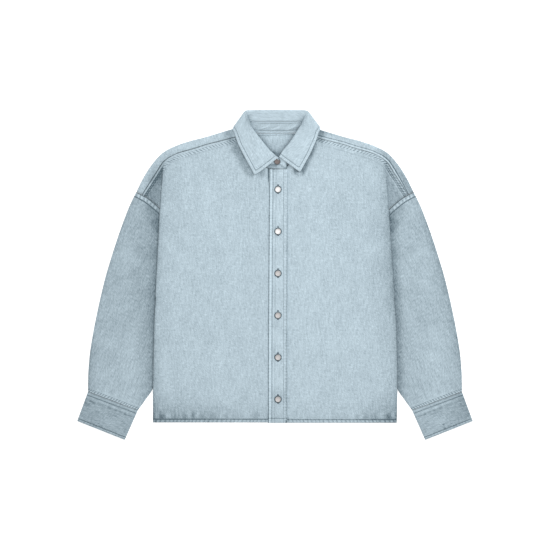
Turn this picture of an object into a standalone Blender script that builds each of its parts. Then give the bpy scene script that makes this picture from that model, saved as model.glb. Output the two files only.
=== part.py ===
"""A buttoned denim shirt lying flat on its back, in metres, neck towards +Y and front up (+Z).

Plan points in the tables are read from the layout grid: x to the right and y down, UNIT millimetres a step,
with GRID_MID at the middle of the shirt. Heights are millimetres above the table, to the middle of the cloth.
"""

import math

import bpy
import numpy as np

UNIT = 2.15
GRID_MID = (275.0, 274.993)
MIDLINE = 275.0  # the layout x that the two halves share
CLOTH = 1.2  # one layer of denim
YOKE_CLOTH = 1.8  # two layers, stitched as one
DOUBLE_CLOTH = 2.0  # stand and cuffs, two layers and a stiffener
LEAF_CLOTH = 1.3  # collar leaf, two layers
GAP = 0.3
SEAM = 0.45  # space between two pieces that meet at a seam, in plan

TABLE = CLOTH / 2
SHOULDER_HEIGHT = 5.3  # cloth of the yoke's front strip
SLEEVE_UNDER_BODY = 2.6  # upper cloth of the sleeve where the body lies on it
SLEEVE_LOFT = 2.5  # more than that where the sleeve lies free
STACK = 3.7  # how far the sleeve and the pleat lift the cloth above them
FRONT_ABOVE_BACK = 2.0
FRONT_LOFT = 0.6
FOLD_RADIUS = 0.85
BUTTON_PITCH_MM = 90.2
BUTTON_DIAMETER_MM = 13.6
BUTTON_HEIGHT_MM = 2.6

DENIM = (0.49, 0.60, 0.67)
COLLAR_DENIM = (0.51, 0.62, 0.69)
CUFF_DENIM = (0.37, 0.47, 0.53)
METAL = (0.62, 0.60, 0.58)

# Armhole seam of the photo-left sleeve, from the shoulder to the underarm: x, y, upper height
ARMHOLE = (
    (136.5, 191.9, 5.3),
    (142.0, 194.8, 5.3),
    (146.3, 197.1, 5.0),
    (150.7, 200.3, 4.5),
    (155.3, 204.0, 3.6),
    (160.0, 208.0, 2.8),
    (169.0, 217.0, 2.6),
    (177.0, 228.5, 2.6),
    (184.0, 243.0, 2.6),
    (188.5, 258.0, 2.6),
    (190.0, 272.0, 2.6),
)
# Shoulder: fold x, y, front seam x, y, back seam x, y, from the armhole to the neck
SHOULDER = (
    (136.5, 191.9, 142.0, 194.8, 169.0, 217.0),
    (141.2, 182.0, 148.8, 184.1, 175.0, 212.0),
    (147.3, 171.3, 155.6, 173.4, 181.5, 207.5),
    (154.5, 161.3, 162.6, 162.4, 189.0, 203.0),
    (162.5, 153.0, 168.5, 157.6, 197.0, 198.8),
    (174.0, 146.6, 178.0, 152.9, 206.0, 194.8),
    (190.0, 141.0, 193.8, 148.5, 217.0, 190.7),
    (204.5, 137.3, 206.5, 144.4, 227.5, 187.5),
    (220.0, 132.7, 222.0, 140.5, 238.0, 185.0),
    (231.5, 129.3, 234.0, 137.2, 246.0, 183.4),
    (240.0, 127.6, 243.0, 135.6, 253.0, 182.3),
)
# Back neckline beyond the shoulder: neck x, y, back seam x, y
BACK_NECK = (
    (250.0, 132.6, 258.0, 181.6),
    (262.0, 133.4, 266.0, 180.9),
    (MIDLINE, 133.6, MIDLINE, 180.5),
)
# Top edge of a front, from the side fold along the yoke seam and down the neckline:
# x, y, height if it laps over, height if it lies under
FRONT_TOP = (
    (162.6, 162.4, 5.3, 5.3),
    (168.5, 157.6, 5.3, 5.3),
    (178.0, 152.9, 5.3, 5.3),
    (186.0, 150.7, 5.3, 5.3),
    (193.8, 148.5, 5.3, 5.3),
    (200.0, 146.5, 5.3, 5.3),
    (206.5, 144.4, 5.3, 5.3),
    (214.0, 142.5, 5.3, 5.3),
    (222.0, 140.5, 5.3, 5.3),
    (234.0, 137.2, 5.3, 5.3),
    (243.0, 135.6, 5.3, 5.3),
    (247.5, 147.5, 5.2, 4.9),
    (254.0, 157.5, 4.8, 4.0),
    (262.0, 165.0, 4.5, 3.3),
    (269.5, 168.6, 4.5, 2.9),
)
FRONT_EDGE_OVER = (273.4, 278.3, 283.2, 287.2)  # columns across the placket
FRONT_EDGE_UNDER = (276.0, 282.0)
FRONT_EDGE_TOP = 169.0
# Side of the body: y, photo-left x, photo-right x (mirrored to the left)
SIDE = (
    (158.0, 162.6, 163.4),
    (168.0, 163.2, 164.1),
    (176.0, 162.4, 163.6),
    (195.0, 160.7, 162.3),
    (211.0, 159.6, 161.2),
    (248.0, 157.7, 158.9),
    (290.0, 155.7, 156.1),
    (330.0, 154.0, 153.6),
    (384.0, 153.0, 152.6),
    (423.0, 153.0, 153.2),
)
# Pleat of a front over the armhole: side y, turn at each fold, inner fold x, end x, y, z
PLEAT = (
    (162.4, 0, 0, 142.0, 194.8, 5.3),
    (170.0, 60, 0, 146.3, 197.1, 5.0),
    (180.0, 180, 167.5, 150.7, 200.3, 4.5),
    (190.0, 180, 171.5, 155.3, 204.0, 3.6),
    (200.0, 180, 176.0, 160.0, 208.0, 2.8),
    (210.0, 180, 182.0, 169.0, 217.0, 2.6),
    (221.0, 180, 188.5, 177.0, 228.5, 2.6),
    (236.0, 180, 195.0, 184.0, 243.0, 2.6),
    (254.0, 180, 198.0, 188.5, 258.0, 2.6),
    (272.0, 180, 195.0, 190.6, 271.5, 2.8),
    (274.5, 180, 0, 190.5, 275.0, 4.6),
    (283.0, 180, 0, 181.0, 286.0, 4.4),
    (291.0, 180, 0, 170.0, 293.5, 4.3),
    (297.5, 180, 0, 161.5, 298.3, 4.3),
)
FIRST_FLAT_SEAM = 10  # from this pleat row on, the under layer ends at the side seam
LEVEL_ROW = 8  # down to this row the rows follow the shoulder, below it they are level
FRONT_ROWS = (308.0, 320.0, 334.0, 348.0, 362.0, 376.0, 390.0, 402.0, 412.0)
HEM = (422.4, 422.8)  # photo left, photo right
# Side boundary of the back under the armhole, and the y of the same row at the centre
BACK_SIDE = (
    (169.0, 217.0, 180.5),
    (177.0, 228.5, 198.0),
    (184.0, 243.0, 216.0),
    (188.5, 258.0, 233.0),
    (191.6, 271.0, 246.0),
    (192.4, 279.0, 258.0),
    (182.3, 287.1, 270.0),
    (170.8, 294.4, 282.0),
    (160.8, 300.2, 295.0),
)
BACK_ROWS = (308.0, 322.0, 338.0, 354.0, 370.0, 386.0, 398.0, 410.0)
BACK_HEM = 421.2
# Inner edge of the sleeve: y, x
SLEEVE_INNER = (
    (272.0, 190.0),
    (300.0, 183.0),
    (322.0, 177.5),
    (345.0, 171.0),
    (367.0, 162.6),
    (390.0, 152.4),
    (410.6, 137.7),
)
# Outer edge of the sleeve: y, x
SLEEVE_OUTER = (
    (191.9, 136.5),
    (204.0, 130.2),
    (220.0, 124.0),
    (236.0, 118.2),
    (255.0, 112.0),
    (275.0, 106.0),
    (299.0, 100.0),
    (328.0, 94.0),
    (350.0, 90.2),
    (372.0, 88.2),
    (392.0, 87.9),
)
# Where the lifted cloth falls back to the middle: y, x
LIFT_EDGE = (
    (160.0, 176.0),
    (168.0, 187.0),
    (180.0, 190.0),
    (200.0, 197.0),
    (221.0, 210.0),
    (236.0, 216.5),
    (250.0, 218.8),
    (265.0, 217.5),
    (282.0, 212.0),
    (300.0, 203.5),
    (322.0, 197.5),
    (345.0, 191.0),
    (367.0, 182.6),
    (390.0, 172.4),
    (410.6, 157.7),
    (423.0, 149.0),
)
BACK_FADE = 20.0  # how far it takes, on the back and on the fronts
FRONT_FADE = 50.0
# Cuff corners: outer top, inner top, inner bottom, outer bottom
CUFF = ((87.9, 392.0), (137.7, 410.6), (124.8, 439.8), (77.2, 421.0))
GATHERS = 4.5
GATHER_HEIGHT = 0.55
LEAF_CROWN = 2.2  # how far the leaf's face arches above a straight line from its roll to its edge

# Collar stations from the photo-left front edge round the back to the photo-right front edge:
# stand seam x, y, z, stand top x, y, z
STAND = (
    (286.8, 168.7, 5.4, 286.8, 158.6, 6.6),
    (282.0, 168.7, 5.4, 282.2, 157.4, 6.6),
    (276.5, 168.7, 5.4, 276.6, 157.6, 6.5),
    (269.6, 168.3, 5.4, 268.7, 151.6, 7.2),
    (262.1, 164.7, 5.3, 262.4, 144.5, 9.0),
    (254.2, 157.3, 5.4, 256.9, 137.3, 11.4),
    (247.8, 147.3, 5.5, 252.6, 131.0, 13.8),
    (243.4, 135.6, 5.6, 250.3, 126.2, 16.0),
    (242.0, 129.4, 4.2, 250.4, 123.6, 16.4),
    (244.6, 129.6, 2.2, 252.4, 122.4, 16.6),
    (250.4, 131.8, 1.5, 256.2, 122.1, 16.8),
    (262.0, 133.1, 1.5, 265.4, 122.4, 16.6),
    (275.8, 133.3, 1.5, 276.2, 122.4, 16.4),
    (288.0, 133.1, 1.5, 287.0, 122.4, 16.6),
    (299.6, 131.8, 1.5, 296.0, 122.1, 16.8),
    (305.4, 129.6, 2.2, 299.4, 122.4, 16.6),
    (308.0, 129.4, 4.2, 301.4, 123.6, 16.4),
    (306.6, 135.6, 5.6, 301.5, 126.2, 16.0),
    (302.2, 147.3, 5.3, 298.9, 131.0, 13.8),
    (295.8, 157.3, 4.3, 295.0, 137.4, 11.2),
    (287.9, 164.7, 3.1, 290.2, 145.4, 7.4),
    (280.4, 168.3, 2.9, 284.3, 152.6, 4.0),
    (274.6, 168.7, 2.9, 279.2, 157.3, 2.9),
    (268.6, 168.7, 2.9, 268.8, 158.4, 2.9),
)
# Leaf: stand station, roll x, y, z, outer edge x, y, z, half the thickness of the fold
LEAF = (
    (2.0, 276.7, 155.2, 8.2, 255.7, 173.4, 6.8, 1.6),
    (3.0, 269.9, 149.6, 9.8, 250.4, 163.0, 7.0, 1.6),
    (4.0, 264.1, 142.9, 11.6, 245.1, 152.3, 7.2, 1.7),
    (5.0, 259.4, 137.1, 13.9, 241.2, 144.2, 7.4, 1.8),
    (6.0, 254.9, 131.6, 16.2, 237.8, 137.4, 7.6, 1.9),
    (7.0, 249.4, 123.2, 21.0, 235.3, 132.4, 7.6, 1.8),
    (7.4, 247.0, 117.4, 22.0, 233.9, 131.0, 7.6, 1.8),
    (7.8, 245.3, 113.6, 22.7, 233.0, 129.6, 7.2, 1.8),
    (8.2, 245.2, 112.0, 23.0, 233.6, 127.0, 6.0, 1.8),
    (8.6, 246.6, 111.1, 23.2, 236.4, 124.8, 4.6, 2.0),
    (9.2, 249.8, 110.8, 23.5, 240.6, 124.6, 3.4, 2.0),
    (10.0, 254.0, 110.7, 24.0, 246.5, 126.6, 2.4, 2.0),
    (11.0, 264.0, 110.6, 24.2, 261.0, 129.8, 1.6, 2.0),
    (12.0, 276.3, 110.6, 24.2, 276.3, 129.9, 1.6, 2.0),
    (13.0, 288.6, 110.6, 24.2, 291.6, 129.8, 1.6, 2.0),
    (14.0, 298.5, 110.7, 24.0, 306.1, 126.6, 2.4, 2.0),
    (14.8, 302.8, 110.8, 23.5, 312.2, 124.2, 3.4, 2.0),
    (15.4, 306.2, 111.1, 23.2, 316.6, 124.4, 4.6, 2.0),
    (15.8, 307.7, 112.0, 23.0, 319.6, 126.6, 6.0, 1.8),
    (16.2, 307.4, 113.6, 22.7, 320.2, 129.2, 7.2, 1.8),
    (16.6, 305.2, 117.2, 22.0, 319.2, 130.9, 7.6, 1.8),
    (17.0, 302.2, 123.2, 21.0, 317.8, 132.2, 7.6, 1.8),
    (18.0, 296.6, 131.6, 16.0, 315.2, 137.6, 7.6, 1.9),
    (19.0, 292.9, 137.5, 13.8, 311.9, 144.4, 7.4, 1.8),
    (20.0, 287.8, 144.4, 11.2, 307.8, 152.8, 7.2, 1.9),
    (21.0, 282.2, 151.2, 9.2, 303.2, 162.6, 7.0, 2.3),
    (22.0, 279.3, 155.0, 6.2, 299.0, 171.4, 7.0, 2.7),
)
BUTTON_X = 278.0
FIRST_BUTTON_Y = 189.5
STAND_BUTTON = (277.3, 161.6)


def plan(x, y):
    """Layout grid to millimetres."""
    return np.array([(x - GRID_MID[0]) * UNIT, (GRID_MID[1] - y) * UNIT])


def at(x, y, z):
    """A point in millimetres from layout x, y and a height."""
    return np.append(plan(x, y), z)


def smooth(t):
    t = min(max(t, 0.0), 1.0)
    return t * t * (3 - 2 * t)


def look_up(table, key, column=1):
    rows = np.array(table)
    return float(np.interp(key, rows[:, 0], rows[:, column]))


def material(name, colour, roughness=0.9, metallic=0.0):
    made = bpy.data.materials.new(name)
    made.use_nodes = True
    shader = made.node_tree.nodes["Principled BSDF"]
    shader.inputs["Base Color"].default_value = (*colour, 1)
    shader.inputs["Roughness"].default_value = roughness
    shader.inputs["Metallic"].default_value = metallic
    made.diffuse_color = (*colour, 1)
    return made


def cells(index):
    """The faces between neighbouring rows and columns of a grid of point numbers."""
    found = []
    for upper, lower in zip(index[:-1], index[1:]):
        for k in range(len(upper) - 1):
            found.append((upper[k], lower[k], lower[k + 1], upper[k + 1]))
    return found


def add_mesh(name, points, faces, look):
    mesh = bpy.data.meshes.new(name)
    mesh.from_pydata([tuple(p / 1000) for p in points], [], faces)
    mesh.polygons.foreach_set("use_smooth", [True] * len(mesh.polygons))
    mesh.update()
    made = bpy.data.objects.new(name, mesh)
    made.data.materials.append(look)
    bpy.context.scene.collection.objects.link(made)
    return made


def volume(points, faces):
    total = 0.0
    for face in faces:
        a = points[face[0]]
        for b, c in zip(face[1:-1], face[2:]):
            total += np.dot(a, np.cross(points[b], points[c]))
    return total


def wall(name, points, faces, thickness, look):
    """A closed wall of this thickness around a sheet of points and faces."""
    points = np.array(points, float)
    normals = np.zeros_like(points)
    for face in faces:
        corners = points[list(face)]
        across = np.cross(corners[2] - corners[0], corners[-1] - corners[1])
        length = np.linalg.norm(across)
        if length > 1e-9:
            normals[list(face)] += across / length
    normals /= np.linalg.norm(normals, axis=1)[:, None]
    count = len(points)
    both = np.concatenate([points + normals * thickness / 2, points - normals * thickness / 2])
    closed = [tuple(face) for face in faces]
    closed += [tuple(k + count for k in reversed(face)) for face in faces]
    edges = set()
    for face in faces:
        edges.update(zip(face, face[1:] + face[:1]))
    for a, b in edges:
        if (b, a) not in edges:
            closed.append((b, a, a + count, b + count))
    if volume(both, closed) < 0:
        closed = [tuple(reversed(face)) for face in closed]
    return add_mesh(name, both, closed, look)


def sheet(rows, thickness, name, look, close=False):
    """A wall on one grid of points, joined end to end across each row if close is set."""
    width = len(rows[0])
    points = [p for row in rows for p in row]
    index = [[r * width + k for k in range(width)] + [r * width] * close for r in range(len(rows))]
    return wall(name, points, cells(index), thickness, look)


def mirrored(p):
    """The same point on the photo-right half."""
    middle = plan(MIDLINE, 0)[0]
    return np.array([2 * middle - p[0], p[1], p[2]])


def lift(x, y, fade):
    """0 where the cloth lies low, 1 where it lies on the sleeve."""
    full = look_up(LIFT_EDGE, y) - BACK_FADE
    return smooth((full + fade - x) / fade)


def back_height(x, y):
    if y >= 300:
        return TABLE + STACK * lift(x, y, BACK_FADE)
    width = 8 + 12 * smooth((y - 276) / 24)
    edge = look_up(SLEEVE_INNER, y) + 5 + width
    return TABLE + STACK * smooth((edge - x) / width) * smooth((y - 270.8) / 8.3)


def front_height(x, y, right, side_x):
    """Middle of the front's cloth; x is mirrored to the left on the photo-right half."""
    under = TABLE + STACK * lift(x, y, FRONT_FADE)
    middle = 0.6 if right else 2.2
    loft = FRONT_LOFT * smooth((x - side_x - 3) / 20)
    loft += (middle - FRONT_LOFT) * smooth((x - 240) / 22)
    return under + FRONT_ABOVE_BACK + loft


def front_point(column, row_y, right):
    """A point of the front's main layer, and how far down its column it is from 0 to 1."""
    over = not right
    edge = FRONT_EDGE_OVER if over else FRONT_EDGE_UNDER
    tops = list(FRONT_TOP) + [(x, FRONT_EDGE_TOP, 4.5, 2.9) for x in edge]
    top_x, top_y, over_z, under_z = tops[column]
    start_x, start_y = FRONT_TOP[0][:2]
    centre_x = edge[-1]
    side_x = look_up(SIDE, row_y, 2 if right else 1)
    side_x = start_x + (side_x - start_x) * smooth((row_y - start_y) / 6)
    share = (top_x - start_x) / (centre_x - start_x)
    x = side_x + share * (centre_x - side_x)
    level_y = PLEAT[LEVEL_ROW][0]
    down = min((row_y - start_y) / (level_y - start_y), 1.0)
    y = row_y if row_y > level_y else top_y + down * (level_y - top_y)
    seam_z = under_z if right else over_z
    blend = smooth((y - top_y) / 26)
    z = seam_z + (front_height(x, y, right, side_x) - seam_z) * blend
    return x, y, z


def step_along(start, heading, turn, count, chord):
    """Points of a bend: count chords that turn by this many degrees in all."""
    found = []
    here = np.array(start, float)
    for k in range(count):
        angle = math.radians(heading + turn * (k + 0.5) / count)
        here = here + chord * np.array([math.cos(angle), math.sin(angle)])
        found.append(here)
    return found


def pleat_row(row, main, right):
    """Points beyond the side fold for one row: first fold, under layer, second fold, sleeve-side layer."""
    side_y, turn, inner_x, end_x, end_y, end_z = PLEAT[row]
    chord = 2 * FOLD_RADIUS * math.sin(math.radians(22.5))
    start = plan(main[0], main[1])[0]
    end = at(end_x, end_y, end_z)
    flat_seam = row >= FIRST_FLAT_SEAM
    path = step_along((start, main[2]), 180, turn, 4, chord)
    if flat_seam:
        run = end[0] - path[-1][0] - 4 * chord - 1.5
    elif turn == 180:
        run = plan(inner_x, 0)[0] - path[-1][0] - FOLD_RADIUS
    else:
        run = 0.5
    heading = math.radians(180 + turn)
    direction = np.array([math.cos(heading), math.sin(heading)])
    path.append(path[-1] + direction * run / 2)
    path.append(path[-1] + direction * run / 2)
    path += step_along(path[-1], 180 + turn, 0 if flat_seam else -turn, 4, chord)
    last = path[-1]
    for k in range(1, 4):
        part = k / 3
        path.append(last + (np.array([end[0], end[2]]) - last) * part)
    steps = np.diff([np.array((start, main[2]))] + path, axis=0)
    lengths = np.cumsum(np.linalg.norm(steps, axis=1))
    lengths = lengths / lengths[-1]
    start_y = plan(main[0], main[1])[1]
    return [np.array([p[0], start_y + (end[1] - start_y) * share, p[1]]) for p, share in zip(path, lengths)]


def build_front(right):
    """A front panel with its pleat over the armhole. Returns the points across the placket for each row."""
    name = "front_left" if right else "front_right"
    edge = FRONT_EDGE_UNDER if right else FRONT_EDGE_OVER
    columns = len(FRONT_TOP) + len(edge)
    rows_y = [row[0] for row in PLEAT] + list(FRONT_ROWS) + [HEM[1 if right else 0]]
    points, index, wing, placket = [], [], [], []
    seam_drop = np.array([0, -SEAM, 0])
    for r, row_y in enumerate(rows_y):
        numbers = []
        strip = []
        for c in range(columns):
            x, y, z = front_point(c, row_y, right)
            if r >= len(PLEAT) and c == 0:
                z = back_height(x, y) + CLOTH + GAP + 0.1  # the side seam
            turn = PLEAT[r][1] / 180 if r < len(PLEAT) else 0
            p = at(x, y, z)
            if c == 0:
                p[0] += (FOLD_RADIUS + CLOTH / 2) * turn
                main = (x + (FOLD_RADIUS + CLOTH / 2) * turn / UNIT, y, z)
            if r == 0:
                p = p + seam_drop
            numbers.append(len(points))
            points.append(p)
            if c >= len(FRONT_TOP) - 1:
                strip.append(p)
        index.append(numbers)
        placket.append(strip)
        if r < len(PLEAT):
            beyond = pleat_row(r, main, right)
            if r == 0:
                beyond = [p + seam_drop for p in beyond]
            first = len(points)
            points += beyond
            wing.append([numbers[0]] + list(range(first, first + len(beyond))))
    faces = cells(index)
    faces += [tuple(reversed(face)) for face in cells(wing)]
    if right:
        points = [mirrored(p) for p in points]
    wall(name, points, faces, CLOTH, denim)
    return placket


def build_placket(strips):
    """The placket lies on the front and is made from its points, moved out."""
    bottom = plan(0, HEM[1])[1]
    rows = []
    for k, strip in enumerate(strips):
        moved = [p + np.array([0, 0, CLOTH + GAP]) for p in strip]
        if k == len(strips) - 1:
            moved = [np.array([p[0], bottom, p[2]]) for p in moved]
        rows.append(moved)
    sheet(rows, CLOTH, "button_placket", denim)
    return rows


def build_back():
    tops = [(x, y) for *_, x, y in SHOULDER] + [(x, y) for *_, x, y in BACK_NECK]
    centre = MIDLINE
    rows = []
    sides = list(BACK_SIDE) + [(look_up(SIDE, y) + 0.3, y, y) for y in BACK_ROWS + (BACK_HEM,)]
    for r, (side_x, side_y, centre_y) in enumerate(sides):
        half = []
        for top_x, top_y in tops:
            share = (top_x - tops[0][0]) / (centre - tops[0][0])
            x = side_x + share * (centre - side_x)
            bow = (tops[0][1] - top_y) / (tops[0][1] - tops[-1][1])
            y = side_y - bow * (side_y - centre_y)
            p = at(x, y, back_height(x, y))
            if r == 0:
                p[1] -= SEAM
            half.append(p)
        rows.append(half + [mirrored(p) for p in reversed(half[:-1])])
    sheet(rows, CLOTH, "back_panel", denim)


def shoulder_column(station):
    """Rows of the yoke at one shoulder station: front seam, fold, back seam."""
    fold_x, fold_y, front_x, front_y, back_x, back_y = SHOULDER[station]
    low = YOKE_CLOTH / 2
    radius = (SHOULDER_HEIGHT - low) / 2
    fold, front, back = plan(fold_x, fold_y), plan(front_x, front_y), plan(back_x, back_y)
    inward = (front - fold) / np.linalg.norm(front - fold)
    centre = fold + inward * (radius + YOKE_CLOTH / 2)
    rows = [np.append(front, SHOULDER_HEIGHT), np.append((front + centre) / 2, SHOULDER_HEIGHT)]
    for angle in range(0, 181, 45):
        out = math.sin(math.radians(angle)) * radius
        height = low + radius + math.cos(math.radians(angle)) * radius
        rows.append(np.append(centre - inward * out, height))
    if station == 0:
        rows += [np.append(plan(x, y), low) for x, y, _ in ARMHOLE[2:7]]
    else:
        rows += [np.append(centre + (back - centre) * k / 5, low) for k in range(1, 6)]
    return rows


def build_yoke():
    low = YOKE_CLOTH / 2
    left = [shoulder_column(k) for k in range(len(SHOULDER))]
    middle = []
    for neck_x, neck_y, back_x, back_y in BACK_NECK:
        neck, back = at(neck_x, neck_y, low), at(back_x, back_y, low)
        middle.append([neck + (back - neck) * k / 5 for k in range(6)])
    right = [[mirrored(p) for p in column] for column in reversed(left)]
    middle += [[mirrored(p) for p in column] for column in reversed(middle[:-1])]
    points, columns = [], []
    for column in left + middle + right:
        numbers = list(range(len(points), len(points) + len(column)))
        points += column
        columns.append([None] * (12 - len(numbers)) + numbers)
    faces = []
    for a, b in zip(columns[:-1], columns[1:]):
        for k in range(11):
            if None not in (a[k], b[k]):
                faces.append((a[k], a[k + 1], b[k + 1], b[k]))
    wall("back_yoke", points, faces, YOKE_CLOTH, denim)


def sleeve_height(x, side_x):
    """Upper cloth of the sleeve, away from its ends."""
    return SLEEVE_UNDER_BODY + SLEEVE_LOFT * smooth((side_x - 1 - x) / 13)


def build_sleeve(right):
    """A flattened tube from the armhole to the cuff."""
    name = "sleeve_left" if right else "sleeve_right"
    armhole = np.array(ARMHOLE)
    steps = np.linalg.norm(np.diff(armhole[:, :2], axis=0), axis=1)
    shares = np.append(0, np.cumsum(steps)) / steps.sum()
    upper = []
    for k in range(len(shares) - 1):
        upper.append(shares[k])
        if k >= 5:
            upper.append((shares[k] + shares[k + 1]) / 2)
    upper.append(1.0)
    lower = list(shares[::-1])
    cuff_outer, cuff_inner = np.array(CUFF[0]), np.array(CUFF[1])
    rows = []
    downs = (0, 0.035, 0.08, 0.14, 0.21, 0.28, 0.35, 0.42, 0.5, 0.58, 0.66, 0.74, 0.81, 0.87, 0.92, 0.96, 1)
    for down in downs:
        outer_y = 191.9 + (392.0 - 191.9) * down
        inner_y = 272.0 + (410.6 - 272.0) * down
        outer = np.array([look_up(SLEEVE_OUTER, outer_y), outer_y])
        inner = np.array([look_up(SLEEVE_INNER, inner_y), inner_y])

        def spot(share):
            top = np.array([np.interp(share, shares, armhole[:, k]) for k in (0, 1)])
            bottom = cuff_outer + (cuff_inner - cuff_outer) * share
            corners = (1 - share) * ((1 - down) * armhole[0, :2] + down * cuff_outer)
            corners = corners + share * ((1 - down) * armhole[-1, :2] + down * cuff_inner)
            return (1 - down) * top + down * bottom + (1 - share) * outer + share * inner - corners

        def height(share):
            x, y = spot(share)
            side_x = look_up(SIDE, y, 2 if right else 1)
            seam_z = float(np.interp(share, shares, armhole[:, 2]))
            z = sleeve_height(x, side_x)
            z += (4.3 - z) * smooth((down - 0.93) / 0.07)
            wave = math.sin(math.pi * 2 * GATHERS * share + 0.6) * math.sin(math.pi * share) ** 0.5
            z += GATHER_HEIGHT * wave * smooth((down - 0.62) / 0.34)
            return seam_z + (z - seam_z) * smooth(down / 0.13)

        ring = []
        ways = [plan(*spot(b)) - plan(*spot(a)) for a, b in ((0.0, 0.06), (0.94, 1.0), (0.0, 1.0))]
        outer_way, inner_way, across = [way / np.linalg.norm(way) for way in ways]
        edge_heights = [height(0.0) - 0.9 * smooth(down / 0.2), height(1.0)]
        radii = [(z - TABLE) / 2 for z in edge_heights]
        insets = [r + CLOTH / 2 for r in radii]

        def inset_plan(share):
            """Plan point with both edges drawn in to leave room for the folds."""
            here = plan(*spot(share))
            shift = outer_way * insets[0] * (1 - smooth(share / 0.35))
            return here + shift - inner_way * insets[1] * smooth((share - 0.65) / 0.35)

        for share in upper:
            z = height(share)
            z += (edge_heights[0] - z) * (1 - smooth(share / 0.12))
            z += (edge_heights[1] - z) * smooth((share - 0.88) / 0.12)
            ring.append(np.append(inset_plan(share), z))
        for angle in (45, 90, 135):
            turn = math.radians(angle)
            centre = inset_plan(1.0) + inner_way * radii[1] * math.sin(turn)
            ring.append(np.append(centre, TABLE + radii[1] * (1 + math.cos(turn))))
        for share in lower:
            ring.append(np.append(inset_plan(share), TABLE))
        for angle in (135, 90, 45):
            turn = math.radians(angle)
            centre = inset_plan(0.0) - outer_way * radii[0] * math.sin(turn)
            ring.append(np.append(centre, TABLE + radii[0] * (1 + math.cos(turn))))
        if down in (0, 1):
            away = np.array([-across[1], across[0]]) * (SEAM if down else -SEAM)
            ring = [p + np.append(away, 0) for p in ring]
        rows.append(ring)
    if right:
        rows = [[mirrored(p) for p in row] for row in rows]
    sheet(rows, CLOTH, name, denim, close=True)


def build_cuff(right):
    name = "cuff_left" if right else "cuff_right"
    corners = [plan(*corner) for corner in CUFF]
    low = DOUBLE_CLOTH / 2
    rows = []
    for down in (0, 0.12, 0.5, 0.88, 1):
        outer = corners[0] + (corners[3] - corners[0]) * down
        inner = corners[1] + (corners[2] - corners[1]) * down
        across = (inner - outer) / np.linalg.norm(inner - outer)
        high = low + 3.1 + 0.5 * math.sin(math.pi * down)
        radius = (high - low) / 2
        outer = outer + across * (radius + low)
        inner = inner - across * (radius + low)
        ring = [np.append(outer + (inner - outer) * k / 8, high) for k in range(9)]
        for angle in (45, 90, 135):
            turn = math.radians(angle)
            height = low + radius * (1 + math.cos(turn))
            ring.append(np.append(inner + across * radius * math.sin(turn), height))
        ring += [np.append(inner + (outer - inner) * k / 8, low) for k in range(9)]
        for angle in (135, 90, 45):
            turn = math.radians(angle)
            height = low + radius * (1 + math.cos(turn))
            ring.append(np.append(outer - across * radius * math.sin(turn), height))
        rows.append(ring)
    if right:
        rows = [[mirrored(p) for p in row] for row in rows]
    sheet(rows, DOUBLE_CLOTH, name, cuff_denim, close=True)


def build_stand():
    rows = []
    for nx, ny, nz, tx, ty, tz in STAND:
        seam, top = at(nx, ny, nz), at(tx, ty, tz)
        rows.append([seam + (top - seam) * k / 3 for k in range(4)])
    sheet(rows, DOUBLE_CLOTH, "collar_stand", collar_denim)


def touch_angle(reach, half):
    """Angle from the outward direction at which a line from this point (out, aside) meets the circle."""
    distance = max(np.linalg.norm(reach), half * 1.02)
    return math.atan2(reach[1], reach[0]) - math.acos(half / distance)


def build_leaf():
    """The leaf runs from the stand's top over the roll line and down again, with a round bend at the roll."""
    stand = np.array(STAND)
    rolls = np.array([at(*row[1:4]) for row in LEAF])
    rows = []
    for r, (station, rx, ry, rz, ox, oy, oz, half) in enumerate(LEAF):
        values = [np.interp(station, range(len(stand)), stand[:, k]) for k in range(6)]
        seam, top = at(*values[:3]), at(*values[3:])
        rise = (top - seam) / np.linalg.norm(top - seam)
        start = top + rise * 1.15 + np.array([0, 0, 0.45])
        roll, outer = rolls[r], at(ox, oy, oz)
        along = rolls[min(r + 1, len(rolls) - 1)] - rolls[max(r - 1, 0)]
        along = along / np.linalg.norm(along)
        level = smooth((abs(abs(station - 12.0) - 4.5) - 0.6) / 0.5)
        legs = []
        for end in (start, outer):
            leg = end - roll
            leg = leg - along * np.dot(leg, along) * level
            legs.append(leg)
        ways = [leg / np.linalg.norm(leg) for leg in legs]
        inward = (ways[0] + ways[1]) / np.linalg.norm(ways[0] + ways[1])
        apart = legs[0] - inward * np.dot(legs[0], inward)
        apart = apart / np.linalg.norm(apart)
        centre = roll + inward * half
        reaches = []
        for leg, sign in zip(legs, (1, -1)):
            reach = leg - inward * half
            reaches.append((-np.dot(reach, inward), sign * np.dot(reach, apart)))
        first, last = touch_angle(reaches[0], half), -touch_angle(reaches[1], half)
        bend = []
        for k in range(5):
            turn = first + (last - first) * k / 4
            bend.append(centre + half * (math.sin(turn) * apart - math.cos(turn) * inward))
        row = [start, (start + bend[0]) / 2] + bend
        crown = np.array([0, 0, LEAF_CROWN * (ry > 113) * (oz > 5)])
        for k in range(1, 6):
            row.append(bend[-1] + (outer - bend[-1]) * k / 5 + crown * math.sin(math.pi * k / 5))
        rows.append(row)
    sheet(rows, LEAF_CLOTH, "collar_leaf", collar_denim)


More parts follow.
